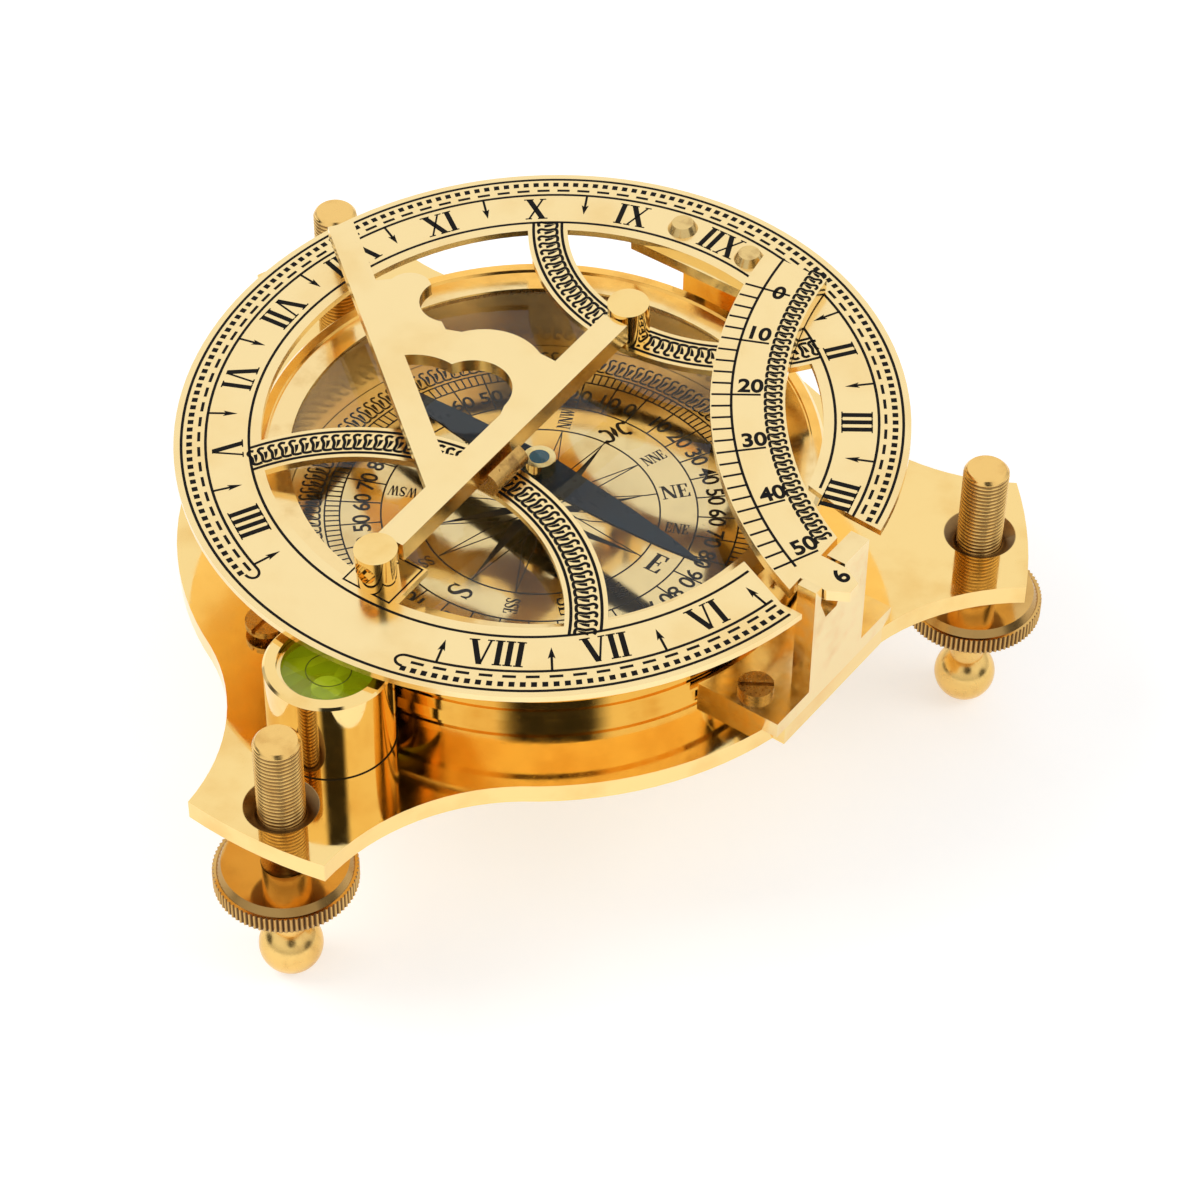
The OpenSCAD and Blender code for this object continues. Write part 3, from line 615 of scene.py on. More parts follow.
@dataclass
class Inlay:
    """Thin filled marks on one plane, gathered into one mesh.

    Attributes:
        name: piece name.
        place: matrix from millimetres on the plane to metres in the frame.
        rise: height of the marks above the plane.
        sink: depth of their undersides below it.
    """

    FONT_STEPS: ClassVar[int] = 5
    MERGE: ClassVar[float] = 1e-8

    name: str
    place: Matrix
    rise: float = 0.03
    sink: float = 0.02
    points: list[Vector] = field(default_factory=list)
    faces: list[tuple[int, ...]] = field(default_factory=list)

    def block(self, outline: Sequence[Point]) -> None:
        """Adds a closed outline as a thin block.

        Args:
            outline: its corners, either way round.
        """
        edges = zip(outline, [*outline[1:], outline[0]])
        area = sum(a[0] * b[1] - b[0] * a[1] for a, b in edges)
        ring = list(outline) if area > 0 else list(reversed(outline))
        first, count = len(self.points), len(ring)
        for z in (-self.sink, self.rise):
            self.points += [Vector((x, y, z)) for x, y in ring]
        self.faces.append(tuple(first + count + i for i in range(count)))
        self.faces.append(tuple(first + i for i in reversed(range(count))))
        for i in range(count):
            a, b = first + i, first + (i + 1) % count
            self.faces.append((a, b, b + count, a + count))

    def strip(
        self, path: Sequence[Point], width: float | Sequence[float], closed: bool = False
    ) -> None:
        """Adds a stroke along a path.

        Args:
            path: the stroke's middle.
            width: one width, or one for each point.
            closed: whether the end joins the start.
        """
        count, first = len(path), len(self.points)
        widths = list(width) if isinstance(width, Sequence) else [width] * count
        for i, (x, y) in enumerate(path):
            before = path[i - 1] if i or closed else path[i]
            after = path[(i + 1) % count] if i + 1 < count or closed else path[i]
            dx, dy = after[0] - before[0], after[1] - before[1]
            length = math.hypot(dx, dy) or 1.0
            nx, ny = -dy / length * widths[i] / 2, dx / length * widths[i] / 2
            for z in (self.rise, -self.sink):
                self.points.append(Vector((x + nx, y + ny, z)))
                self.points.append(Vector((x - nx, y - ny, z)))
        for i in range(count if closed else count - 1):
            a, b = first + 4 * i, first + 4 * ((i + 1) % count)
            self.faces += [(a, a + 1, b + 1, b), (a + 2, b + 2, b + 3, a + 3)]
            self.faces += [(a, b, b + 2, a + 2), (a + 1, a + 3, b + 3, b + 1)]
        if not closed:
            a, b = first, first + 4 * (count - 1)
            self.faces += [(a, a + 2, a + 3, a + 1), (b, b + 1, b + 3, b + 2)]

    def arc(self, radius: float, span: Point, width: float) -> None:
        """Adds a line round the middle.

        Args:
            radius: radius of the line's own middle.
            span: first and last bearing, in degrees.
            width: width of the line.
        """
        sweep = abs(span[1] - span[0])
        path = [polar(radius, bearing) for bearing in spread(span, max(3, int(sweep / 2)))]
        whole = abs(sweep - 360) < 1e-6
        self.strip(path[:-1] if whole else path, width, whole)

    def ray(self, radii: Point, bearing: float, width: float) -> None:
        """Adds a straight line between two radii."""
        self.strip([polar(radius, bearing) for radius in radii], width)

    def digits(
        self, text: str, height: float, at: Point, turn: float, heavy: float = 0.0
    ) -> None:
        """Adds plain digits.

        Args:
            text: what is written.
            height: height of the digits.
            at: middle of the word.
            turn: turn of the word, counter-clockwise in degrees.
            heavy: how much the strokes are fattened, as a share of the height.
        """
        curve = bpy.data.curves.new("digits", "FONT")
        curve.body, curve.extrude, curve.offset = text, 0.5, heavy
        curve.resolution_u = self.FONT_STEPS
        holder = bpy.data.objects.new("digits", curve)
        bpy.context.scene.collection.objects.link(holder)
        shaped = holder.evaluated_get(bpy.context.evaluated_depsgraph_get())
        mesh = bpy.data.meshes.new_from_object(shaped)
        xs, ys = [v.co.x for v in mesh.vertices], [v.co.y for v in mesh.vertices]
        scale = height / (max(ys) - min(ys))
        mid_x, mid_y = (max(xs) + min(xs)) / 2, (max(ys) + min(ys)) / 2
        first = len(self.points)
        for v in mesh.vertices:
            x, y = turned(((v.co.x - mid_x) * scale, (v.co.y - mid_y) * scale), turn, at)
            self.points.append(Vector((x, y, self.rise if v.co.z > 0 else -self.sink)))
        self.faces += [tuple(first + i for i in p.vertices) for p in mesh.polygons]
        bpy.data.objects.remove(holder)
        bpy.data.curves.remove(curve)
        bpy.data.meshes.remove(mesh)

    def build(self, finish: Finish, body: Body) -> None:
        """Joins the marks into a piece that rides on a body.

        Args:
            finish: the marks' finish.
            body: the body that carries them.
        """
        mesh = bpy.data.meshes.new(self.name)
        mesh.from_pydata([self.place @ p for p in self.points], [], self.faces)
        work = bmesh.new()
        work.from_mesh(mesh)
        bmesh.ops.remove_doubles(work, verts=work.verts, dist=self.MERGE)
        bmesh.ops.recalc_face_normals(work, faces=work.faces)
        work.to_mesh(mesh)
        work.free()
        add_piece(mesh, finish, body)


@dataclass(frozen=True)
class Glyph:
    """A Roman letter one unit high.

    Attributes:
        width: room that it takes.
        thick: thick strokes, each by its place at the foot, at the head, and its share of a stem.
        thin: thin strokes, likewise with a share of a hairline.
        heads: serifs at the top, each by its middle and width.
        feet: serifs at the bottom, likewise.
        curve: path of a stroke that swells towards its middle.
        tips: other outlines.
    """

    width: float
    thick: tuple[Stroke, ...] = ()
    thin: tuple[Stroke, ...] = ()
    heads: tuple[Point, ...] = ()
    feet: tuple[Point, ...] = ()
    curve: tuple[Point, ...] = ()
    tips: tuple[tuple[Point, ...], ...] = ()


LETTERS = {
    "I": Glyph(0.30, thick=((0.14, 0.14, 1.0),), heads=((0.14, 0.27),), feet=((0.14, 0.27),)),
    "V": Glyph(
        0.73, ((0.37, 0.13, 1.05),), ((0.40, 0.62, 1.0),), heads=((0.14, 0.30), (0.61, 0.20))
    ),
    "X": Glyph(
        0.73,
        thick=((0.56, 0.15, 1.15),),
        thin=((0.12, 0.58, 1.0),),
        heads=((0.15, 0.30), (0.58, 0.20)),
        feet=((0.12, 0.20), (0.56, 0.30)),
    ),
    "N": Glyph(
        0.90,
        thick=((0.70, 0.16, 1.25),),
        thin=((0.14, 0.14, 1.3), (0.74, 0.74, 1.3)),
        heads=((0.12, 0.26), (0.74, 0.28)),
        feet=((0.14, 0.28),),
    ),
    "E": Glyph(
        0.76,
        thick=((0.18, 0.18, 1.1),),
        heads=((0.33, 0.60),),
        feet=((0.34, 0.64),),
        tips=(
            ((0.18, 0.48), (0.46, 0.48), (0.46, 0.54), (0.18, 0.54)),
            ((0.43, 0.38), (0.48, 0.38), (0.48, 0.64), (0.43, 0.64)),
            ((0.56, 0.74), (0.63, 0.74), (0.63, 1.0), (0.50, 0.97)),
            ((0.52, 0.03), (0.66, 0.0), (0.68, 0.28), (0.61, 0.28)),
        ),
    ),
    "W": Glyph(
        1.12,
        thick=((0.34, 0.13, 1.0), (0.74, 0.52, 1.0)),
        thin=((0.37, 0.58, 1.0), (0.77, 0.98, 1.0)),
        heads=((0.13, 0.28), (0.54, 0.24), (0.98, 0.20)),
    ),
    "S": Glyph(
        0.70,
        curve=(
            (0.56, 0.74), (0.50, 0.90), (0.34, 0.965), (0.17, 0.88), (0.14, 0.72), (0.26, 0.59),
            (0.46, 0.46), (0.57, 0.32), (0.54, 0.13), (0.36, 0.035), (0.18, 0.10), (0.10, 0.28),
        ),
        tips=(
            ((0.53, 0.68), (0.60, 0.68), (0.60, 0.98), (0.55, 0.93)),
            ((0.06, 0.02), (0.11, 0.07), (0.13, 0.32), (0.06, 0.32)),
        ),
    ),
}


@dataclass(frozen=True)
class SerifType:
    """Roman letters with thick and thin strokes.

    Attributes:
        stem: width of a thick stem, as a share of the height.
        hair: width of a thin stroke.
        foot: height of the serifs.
    """

    SWELL: ClassVar[float] = 1.1

    stem: float
    hair: float
    foot: float

    def swelling(self, points: Sequence[Point]) -> Outline:
        """Gives a curved stroke that is thin at its ends and thick in its middle.

        Args:
            points: points on its path.

        Returns:
            The outline.
        """
        path = smooth_path(points)
        left: Outline = []
        right: Outline = []
        for i, (x, y) in enumerate(path):
            before, after = path[max(i - 1, 0)], path[min(i + 1, len(path) - 1)]
            dx, dy = after[0] - before[0], after[1] - before[1]
            length = math.hypot(dx, dy)
            share = math.sin(math.pi * i / (len(path) - 1)) ** 2
            half = (self.hair + (self.stem * self.SWELL - self.hair) * share) / 2
            left.append((x - dy / length * half, y + dx / length * half))
            right.append((x + dy / length * half, y - dx / length * half))
        return left + right[::-1]

    def outlines(self, glyph: Glyph) -> list[Outline]:
        """Draws a letter.

        Args:
            glyph: the letter.

        Returns:
            Its outlines.
        """
        shapes = [self.swelling(glyph.curve)] if glyph.curve else []
        for strokes, width in ((glyph.thick, self.stem), (glyph.thin, self.hair)):
            for low, high, share in strokes:
                h = width * share / 2
                shapes.append([(low - h, 0), (high - h, 1), (high + h, 1), (low + h, 0)])
        for serifs, low in ((glyph.heads, 1 - self.foot), (glyph.feet, 0.0)):
            for middle, width in serifs:
                a, b, high = middle - width / 2, middle + width / 2, low + self.foot
                shapes.append([(a, low), (b, low), (b, high), (a, high)])
        return shapes + [list(tip) for tip in glyph.tips]

    def write(
        self, inlay: Inlay, text: str, height: float, at: Point, turn: float, squeeze: float
    ) -> None:
        """Writes a word on an inlay.

        Args:
            inlay: where the letters go.
            text: the word.
            height: height of the letters.
            at: middle of the word.
            turn: turn of the word, counter-clockwise in degrees.
            squeeze: width of the letters as a share of the normal one.
        """
        glyphs = [LETTERS[name] for name in text]
        pen = -sum(glyph.width for glyph in glyphs) / 2
        for glyph in glyphs:
            for outline in self.outlines(glyph):
                local = [((pen + x) * height * squeeze, (y - 0.5) * height) for x, y in outline]
                inlay.block([turned(p, turn, at) for p in local])
            pen += glyph.width


ROMAN = SerifType(0.16, 0.065, 0.045)
CAPITALS = SerifType(0.17, 0.07, 0.05)


@dataclass(frozen=True)
class RopeBorder:
    """A border of linked curls that lie across a band.

    Attributes:
        width: width of the band.
        pitch: length of one link.
        stroke: width of the lines.
    """

    HOOK: ClassVar[tuple[Point, ...]] = (
        (0.60, -0.92), (0.12, -0.98), (-0.22, -0.78), (-0.12, 0.0),
        (-0.28, 0.70), (0.0, 0.98), (0.34, 0.86),
    )
    TONGUE: ClassVar[tuple[Point, ...]] = ((0.0, -0.80), (0.14, 0.36), (0.52, 0.34), (0.34, -0.30))

    width: float
    pitch: float
    stroke: float

    def link(self, marks: Inlay, at: Point, turn: float, flip: bool = False) -> None:
        """Adds one link.

        Args:
            marks: where it goes.
            at: middle of the link.
            turn: direction of the band, counter-clockwise in degrees.
            flip: whether the link's back lies to the left of the band.
        """
        across = (-1 if flip else 1) * self.width / 2
        path = smooth_path([(s * self.pitch, t * across) for s, t in self.HOOK], 3)
        marks.strip([turned(p, turn, at) for p in path], self.stroke)
        marks.block([turned((s * self.pitch, t * across), turn, at) for s, t in self.TONGUE])


@dataclass(frozen=True)
class BarRow:
    """A row of short bars round the ring.

    Attributes:
        radius: radius of the row.
        pitch: distance between two bars.
        length: length of a bar.
        width: width of a bar.
        inset: degrees left free at the row's two ends.
    """

    radius: float
    pitch: float
    length: float
    width: float
    inset: Point

    def mark(self, marks: Inlay, span: Point) -> None:
        """Adds the row.

        Args:
            marks: where it goes.
            span: first and last bearing of the border.
        """
        first, last = span[0] + self.inset[0], span[1] - self.inset[1]
        count = int(math.radians(last - first) * self.radius / self.pitch)
        half = math.degrees(self.length / 2 / self.radius)
        for bearing in spread((first, last), count):
            ends = [polar(self.radius, bearing + way * half) for way in (-1, 1)]
            marks.strip(ends, self.width)


class SubAssembly:
    """A group of pieces that is built and finished together."""

    FINISHES: ClassVar[dict[Finish, tuple[str, ...]]] = {}

    def build(self) -> None:
        """Builds the pieces that the frame doesn't hold, if there are any."""

    def dress(self, nodes: Nodes) -> None:
        """Builds the group's own pieces and finishes its nodes.

        Args:
            nodes: the frame's nodes.
        """
        self.build()
        for finish, names in self.FINISHES.items():
            for name in names:
                for slot in nodes[name].material_slots:
                    slot.material = coat(finish)
                LOG.info("%s takes %s", name, finish.name)


@dataclass
class HourRing(SubAssembly):
    """The tilting ring with its hours, border and pierced spokes.

    A spoke is given by the place of its centre on the noon line and its signed radius.
    """

    FINISHES = {
        PLATE_BRASS: ("hour_ring",),
        TURNED_BRASS: ("hinge_leaf", "hinge_block", "hinge_pin", "hinge_screws"),
        RIVET_BRASS: ("hinge_rivets",),
    }
    WEST: ClassVar[tuple[str, ...]] = ("XII", "XI", "X", "IX", "VIII", "VII", "VI", "V", "IIII")
    EAST: ClassVar[tuple[str, ...]] = ("I", "II", "III", "IIII", "", "VI", "VII", "VIII")

    shift: float = 2.2
    up: float = 61.5
    lean: float = 4.0
    line: float = 0.48
    border_lines: Point = (60.8, 56.7)
    border_spans: tuple[Point, ...] = ((102.6, 165.6), (-161.8, 79.4))
    scroll: Point = (1.5, 1.15)
    squares: BarRow = BarRow(59.45, 1.77, 0.95, 0.98, (0.8, 0.4))
    dashes: BarRow = BarRow(57.85, 3.53, 2.2, 0.52, (1.4, 2.2))
    hour_step: float = 18.9
    gap: Point = (80.0, 101.0)
    numerals_at: float = 53.0
    numeral_h: float = 5.3
    numeral_squeeze: float = 1.08
    arrow_line: float = 0.42
    arrow_neck: float = 53.2
    arrow_tip: float = 51.7
    arrow_barb: float = 54.1
    arrow_half: float = 0.62
    arrow_notch: float = 0.5
    inner_line: float = 49.4
    inner_span: Point = (100.8, 435.0)
    south_spoke: Point = (-54.9, 39.9)
    north_spoke: Point = (59.3, -34.3)
    spoke_half: float = 2.5
    spoke_line: float = 0.52
    spoke_steps: int = 120
    rope: RopeBorder = RopeBorder(3.4, 1.78, 0.56)
    rope_inset: float = 0.5
    tab_half: float = 4.7
    tab_reach: Point = (38.9, 47.7)
    tab_line: float = 0.45
    marks: Inlay = field(init=False)

    def __post_init__(self) -> None:
        """Starts the ring's marks."""
        self.marks = Inlay("ring_marks", self.place())

    def place(self, h: float = 0.0) -> Matrix:
        """Gives the matrix of the ring's plane at a height above its top face."""
        lean = Matrix.Rotation(math.radians(self.lean), 4, "X")
        return frame_place(0, self.shift, self.up) @ lean @ Matrix.Translation((0, 0, h))

    def border(self) -> None:
        """Adds the double lines, squares and dashes round the edge."""
        outer, inner = self.border_lines
        short, long = self.border_spans
        self.marks.arc(outer, (short[0], long[1] + 360), self.line)
        for span in (short, long):
            self.marks.arc(inner, span, self.line)
            self.squares.mark(self.marks, span)
            self.dashes.mark(self.marks, span)
        for bearing, way in ((short[1], 1), (long[0], -1)):
            path: Outline = []
            for turn in (math.radians(15 * k) for k in range(13)):
                along = math.degrees(self.scroll[0] * math.sin(turn) / inner)
                radius = inner + self.scroll[1] * (1 - math.cos(turn))
                path.append(polar(radius, bearing + way * along))
            self.marks.strip(path, self.line)

    def hours(self) -> None:
        """Adds the numerals and the half-hour arrows."""
        hours = [(-i, name) for i, name in enumerate(self.WEST)]
        hours += [(i + 1, name) for i, name in enumerate(self.EAST)]
        for step, name in hours:
            bearing = self.hour_step * step
            at, turn = polar(self.numerals_at, bearing), word_turn(bearing, Side.INWARD)
            ROMAN.write(self.marks, name, self.numeral_h, at, turn, self.numeral_squeeze)
        for i in range(1, len(self.WEST)):
            for way in (-1, 1):
                bearing = way * self.hour_step * (i + 0.5)
                if not self.gap[0] < bearing < self.gap[1]:
                    self.arrow(bearing)

    def arrow(self, bearing: float) -> None:
        """Adds one half-hour arrow that points to the centre.

        Args:
            bearing: its place on the ring.
        """
        self.marks.ray((self.border_lines[1], self.arrow_neck), bearing, self.arrow_line)
        half = math.degrees(self.arrow_half / self.arrow_barb)
        left, right = (polar(self.arrow_barb, bearing + way * half) for way in (-1, 1))
        notch = polar(self.arrow_barb - self.arrow_notch, bearing)
        self.marks.block([polar(self.arrow_tip, bearing), left, notch, right])

    def spoke_end(self, spoke: Point, offset: float, limit: float) -> float:
        """Gives the turn at which a line along a spoke meets the ring.

        Args:
            spoke: the spoke.
            offset: distance of the line from the spoke's middle.
            limit: radius on the ring at which the line ends.

        Returns:
            The turn about the spoke's centre, in degrees.
        """
        centre, reach = spoke[0], abs(spoke[1]) + offset
        cosine = (reach**2 + centre**2 - limit**2) / (2 * reach * abs(centre))
        return math.degrees(math.acos(cosine))

    def spoke_spot(self, spoke: Point, offset: float, turn: float) -> Point:
        """Gives a point on a line along a spoke, by its turn in degrees."""
        x, y = polar(abs(spoke[1]) + offset, turn)
        return x, spoke[0] + math.copysign(y, spoke[1])

    def spokes(self) -> None:
        """Adds the lines and the rope border of both spokes."""
        for spoke in (self.south_spoke, self.north_spoke):
            for offset in (-self.spoke_half, self.spoke_half):
                end = self.spoke_end(spoke, offset, self.inner_line)
                turns = spread((-end, end), self.spoke_steps)
                path = [self.spoke_spot(spoke, offset, turn) for turn in turns]
                self.marks.strip(path, self.spoke_line)
            flip = spoke[1] < 0
            end = self.spoke_end(spoke, 0.0, self.inner_line - self.rope_inset)
            count = round(2 * math.radians(end) * abs(spoke[1]) / self.rope.pitch)
            for turn in spread((-end, end), count):
                at = self.spoke_spot(spoke, 0.0, turn)
                self.rope.link(self.marks, at, turn if flip else -turn, flip)

    def build(self) -> None:
        """Builds the ring's marks."""
        self.border()
        self.hours()
        self.marks.arc(self.inner_line, self.inner_span, self.line)
        self.spokes()
        x, (near, far) = self.tab_half, self.tab_reach
        self.marks.strip([(-x, -near), (-x, -far), (x, -far), (x, -near)], self.tab_line, True)
        self.marks.build(ENAMEL, Body.RING)


@dataclass
class LatitudeArc(SubAssembly):
    """The folding scale at the east with its bracket.

    Turns are about the arc's own centre, counter-clockwise from east, in degrees.
    """

    FINISHES = {
        PLATE_BRASS: ("latitude_arc",),
        BRACKET_BRASS: ("arc_bracket", "arc_pin"),
        CAST_BRASS: ("bracket_screws",),
    }

    ring: HourRing
    centre: Point = (86.0, 60.5)
    face: float = 2.6
    edge: float = 76.6
    line: float = 0.42
    long_at: float = 73.25
    long_line: float = 0.46
    long_span: Point = (-174.5, -114.5)
    long_steps: int = 40
    tens_to: float = 68.3
    zero_turn: float = -167.9
    per_degree: float = 1.048
    top_degree: int = 50
    label_at: float = 70.3
    label_h: float = 3.3
    label_lift: float = 1.75
    label_drift: float = 0.012
    label_heavy: float = 0.03
    tail_digit: str = "6"
    tail_at: Point = (68.4, -109.9)
    tail_turn: float = 88.0
    rope: RopeBorder = RopeBorder(2.8, 1.62, 0.52)
    rope_at: float = 66.2
    rope_span: Point = (-173.9, -117.4)
    marks: Inlay = field(init=False)

    def __post_init__(self) -> None:
        """Starts the arc's marks."""
        self.marks = Inlay("arc_marks", self.ring.place(self.face))

    def spot(self, radius: float, turn: float) -> Point:
        """Gives a point on the arc."""
        return turned((radius, 0), turn, self.centre)

    def label(self, text: str, at: Point, turn: float) -> None:
        """Adds one number of the scale."""
        self.marks.digits(text, self.label_h, at, turn, self.label_heavy)

    def scale(self) -> None:
        """Adds the ticks, the long line and the degree numbers."""
        turns = spread(self.long_span, self.long_steps)
        self.marks.strip([self.spot(self.long_at, turn) for turn in turns], self.long_line)
        for degree in range(0, self.top_degree + 1, 2):
            turn = self.zero_turn + self.per_degree * degree
            reach = self.long_at if degree % 10 else self.tens_to
            self.marks.strip([self.spot(self.edge, turn), self.spot(reach, turn)], self.line)
            if degree % 10 == 0:
                lift = self.label_lift if degree else 0.0
                at = self.spot(self.label_at - self.label_drift * degree, turn - lift)
                self.label(str(degree), at, turn + 180 - lift)
        self.label(self.tail_digit, self.spot(*self.tail_at), self.tail_turn)

    def border(self) -> None:
        """Adds the rope border along the hollow side."""
        first, last = self.rope_span
        count = int(math.radians(last - first) * self.rope_at / self.rope.pitch)
        for turn in spread(self.rope_span, count):
            self.rope.link(self.marks, self.spot(self.rope_at, turn), turn + 90)

    def build(self) -> None:
        """Builds the arc's marks."""
        self.scale()
        self.border()
        self.marks.build(ENAMEL, Body.ARC)


@dataclass
class CompassDial(SubAssembly):
    """The compass under its glass.

    A ray is given by its reach, the radius of its shoulders and the degrees to each side of it.
    """

    FINISHES = {
        DIAL_BRASS: ("compass_dial",),
        HOUSING_BRASS: ("compass_housing",),
        BEZEL_BRASS: ("bezel",),
        TURNED_BRASS: ("pivot_pin", "needle_cap"),
        CAST_BRASS: ("housing_screws",),
        BLUED: ("needle",),
        JEWEL: ("needle_jewel",),
        SEAT: ("glass_seat",),
        CLEAR: ("glass",),
    }
    POINTS: ClassVar[tuple[str, ...]] = (
        "NNE", "NE", "ENE", "E", "ESE", "SE", "SSE", "S",
        "SSW", "SW", "WSW", "W", "WNW", "NW", "NNW",
    )
    LETTER_SIZES: ClassVar[dict[int, Point]] = {1: (4.4, 0.95), 2: (3.3, 0.95), 3: (2.4, 0.74)}
    STEM: ClassVar[tuple[Point, ...]] = (
        (0.24, -2.9), (0.84, -1.97), (-0.1, -1.05), (-1.5, -0.66), (-2.3, -1.3),
    )
    LEAF: ClassVar[tuple[Point, ...]] = (
        (-1.6, 0.75), (-0.3, 0.62), (0.75, -0.25), (1.15, -0.8), (-0.1, -0.64), (-1.1, 0.2),
    )

    north: float = 1.5
    face: float = 41.0
    turn: float = 3.0
    circle_line: float = 0.3
    tick_line: float = 0.28
    rose_r: float = 20.8
    cardinal_ray: Ray = (20.4, 5.4, 22.5)
    middle_ray: Ray = (18.6, 6.2, 16.0)
    small_ray: Ray = (20.6, 9.0, 7.0)
    ray_line: float = 0.2
    ray_tip_line: float = 0.24
    letters_at: float = 24.1
    letters_out: float = 27.3
    stem_line: float = 0.34
    ball_r: float = 0.42
    degrees_at: float = 30.7
    digit_h: float = 3.1
    digit_spread: float = 2.1
    digit_heavy: float = 0.014
    ladder: Point = (34.4, 37.0)
    rope: RopeBorder = RopeBorder(3.9, 1.72, 0.4)
    rope_at: float = 39.7
    marks: Inlay = field(init=False)

    def __post_init__(self) -> None:
        """Starts the dial's marks."""
        turn = Matrix.Rotation(math.radians(self.turn), 4, "Z")
        self.marks = Inlay("dial_marks", frame_place(0, self.north, self.face) @ turn)

    def rings(self) -> None:
        """Adds the circles, the ladder of ticks and the rope border."""
        for radius in (self.rose_r, self.letters_out, *self.ladder):
            self.marks.arc(radius, WHOLE_TURN, self.circle_line)
        for bearing in range(0, 360, 2):
            self.marks.ray(self.ladder, bearing, self.tick_line)
        count = round(2 * math.pi * self.rope_at / self.rope.pitch)
        for bearing in spread(WHOLE_TURN, count)[:-1]:
            self.rope.link(self.marks, polar(self.rope_at, bearing), -bearing)

    def degrees(self) -> None:
        """Adds the degree numbers, each split by its line."""
        for bearing in range(0, 360, 10):
            self.marks.ray((self.letters_out, self.ladder[0]), bearing, self.tick_line)
            for digit, way in zip(str(90 - abs(90 - bearing % 180)), (-1, 1)):
                around = bearing + way * self.digit_spread
                at, turn = polar(self.degrees_at, around), word_turn(around, Side.OUTWARD)
                self.marks.digits(digit, self.digit_h, at, turn, self.digit_heavy)

    def letters(self) -> None:
        """Adds the letters of the points, apart from north."""
        for i, name in enumerate(self.POINTS, 1):
            bearing = 22.5 * i
            height, squeeze = self.LETTER_SIZES[len(name)]
            at, turn = polar(self.letters_at, bearing), word_turn(bearing, Side.ROUND)
            CAPITALS.write(self.marks, name, height, at, turn, squeeze)

    def north_letter(self) -> None:
        """Adds the scrolled N with ball ends and a leaf for its slant."""
        for way in (1, -1):
            stem = [(way * u, self.letters_at + way * w) for u, w in self.STEM]
            path = smooth_path(stem, 6)
            turns = (math.pi * i / (len(path) - 1) for i in range(len(path)))
            self.marks.strip(path, [self.stem_line * (1 + math.sin(turn)) for turn in turns])
            for end in (stem[0], stem[-1]):
                self.marks.block([turned((self.ball_r, 0), 30 * k, end) for k in range(12)])
        self.marks.block([(u, self.letters_at + w) for u, w in self.LEAF])

    def rose(self) -> None:
        """Adds the sixteen rays: the eight main ones half filled, the others in outline."""
        heart = (0.0, 0.0)
        rays = (self.cardinal_ray, self.small_ray, self.middle_ray, self.small_ray)
        for i in range(16):
            bearing = 22.5 * i
            reach, root, spread = rays[i % 4]
            tip = polar(reach, bearing)
            left, right = (polar(root, bearing + way * spread) for way in (-1, 1))
            if i % 2 == 0:
                self.marks.block([heart, right, tip])
            self.marks.strip([heart, left, tip], self.ray_line)
            if i % 2:
                self.marks.strip([tip, right, heart], self.ray_line)
            else:
                self.marks.ray((reach, self.rose_r), bearing, self.ray_tip_line)

    def build(self) -> None:
        """Builds the dial's marks."""
        self.rings()
        self.degrees()
        self.letters()
        self.north_letter()
        self.rose()
        self.marks.build(SEPIA, Body.BASE)


@dataclass
class Gnomon(SubAssembly):
    """The folding shadow plate, its posts and its rest."""

    FINISHES = {
        PLATE_BRASS: ("gnomon",),
        MIRROR_BRASS: ("post_south", "post_north"),
        TURNED_BRASS: ("gnomon_pins",),
        CAST_BRASS: ("gnomon_rest",),
    }


@dataclass(frozen=True)
class LineRing:
    """A fine line round an upright axis.

    Attributes:
        name: piece name.
        finish: its finish.
        z: height of its underside.
        radius: radius of its middle.
        line: width of the line.
        rise: thickness of the line.
    """

    name: str
    finish: Finish
    z: float
    radius: float
    line: float
    rise: float


@dataclass
class SpiritLevel(SubAssembly):
    """The bullseye level at the south."""

    FINISHES = {
        MIRROR_BRASS: ("level_cup",),
        TURNED_BRASS: ("level_retainer", "level_screw"),
        SPIRIT: ("level_fluid",),
        BUBBLE: ("level_bubble",),
        VIAL: ("level_glass",),
    }

    turn: float = -87.0
    reach: float = 59.2
    circle: LineRing = LineRing("level_circle", LEVEL_LINE, 53.0, 3.7, 0.22, 0.03)
    seam: LineRing = LineRing("level_seam", SEPIA, 38.6, 10.68, 0.16, 0.06)

    def build(self) -> None:
        """Builds the circle on the lens and the seam round the cup."""
        x, y = turned((self.reach, 0), self.turn)
        for ring in (self.circle, self.seam):
            marks = Inlay(ring.name, frame_place(x, y, ring.z), ring.rise, 0.0)
            marks.arc(ring.radius, WHOLE_TURN, ring.line)
            marks.build(ring.finish, Body.BASE)


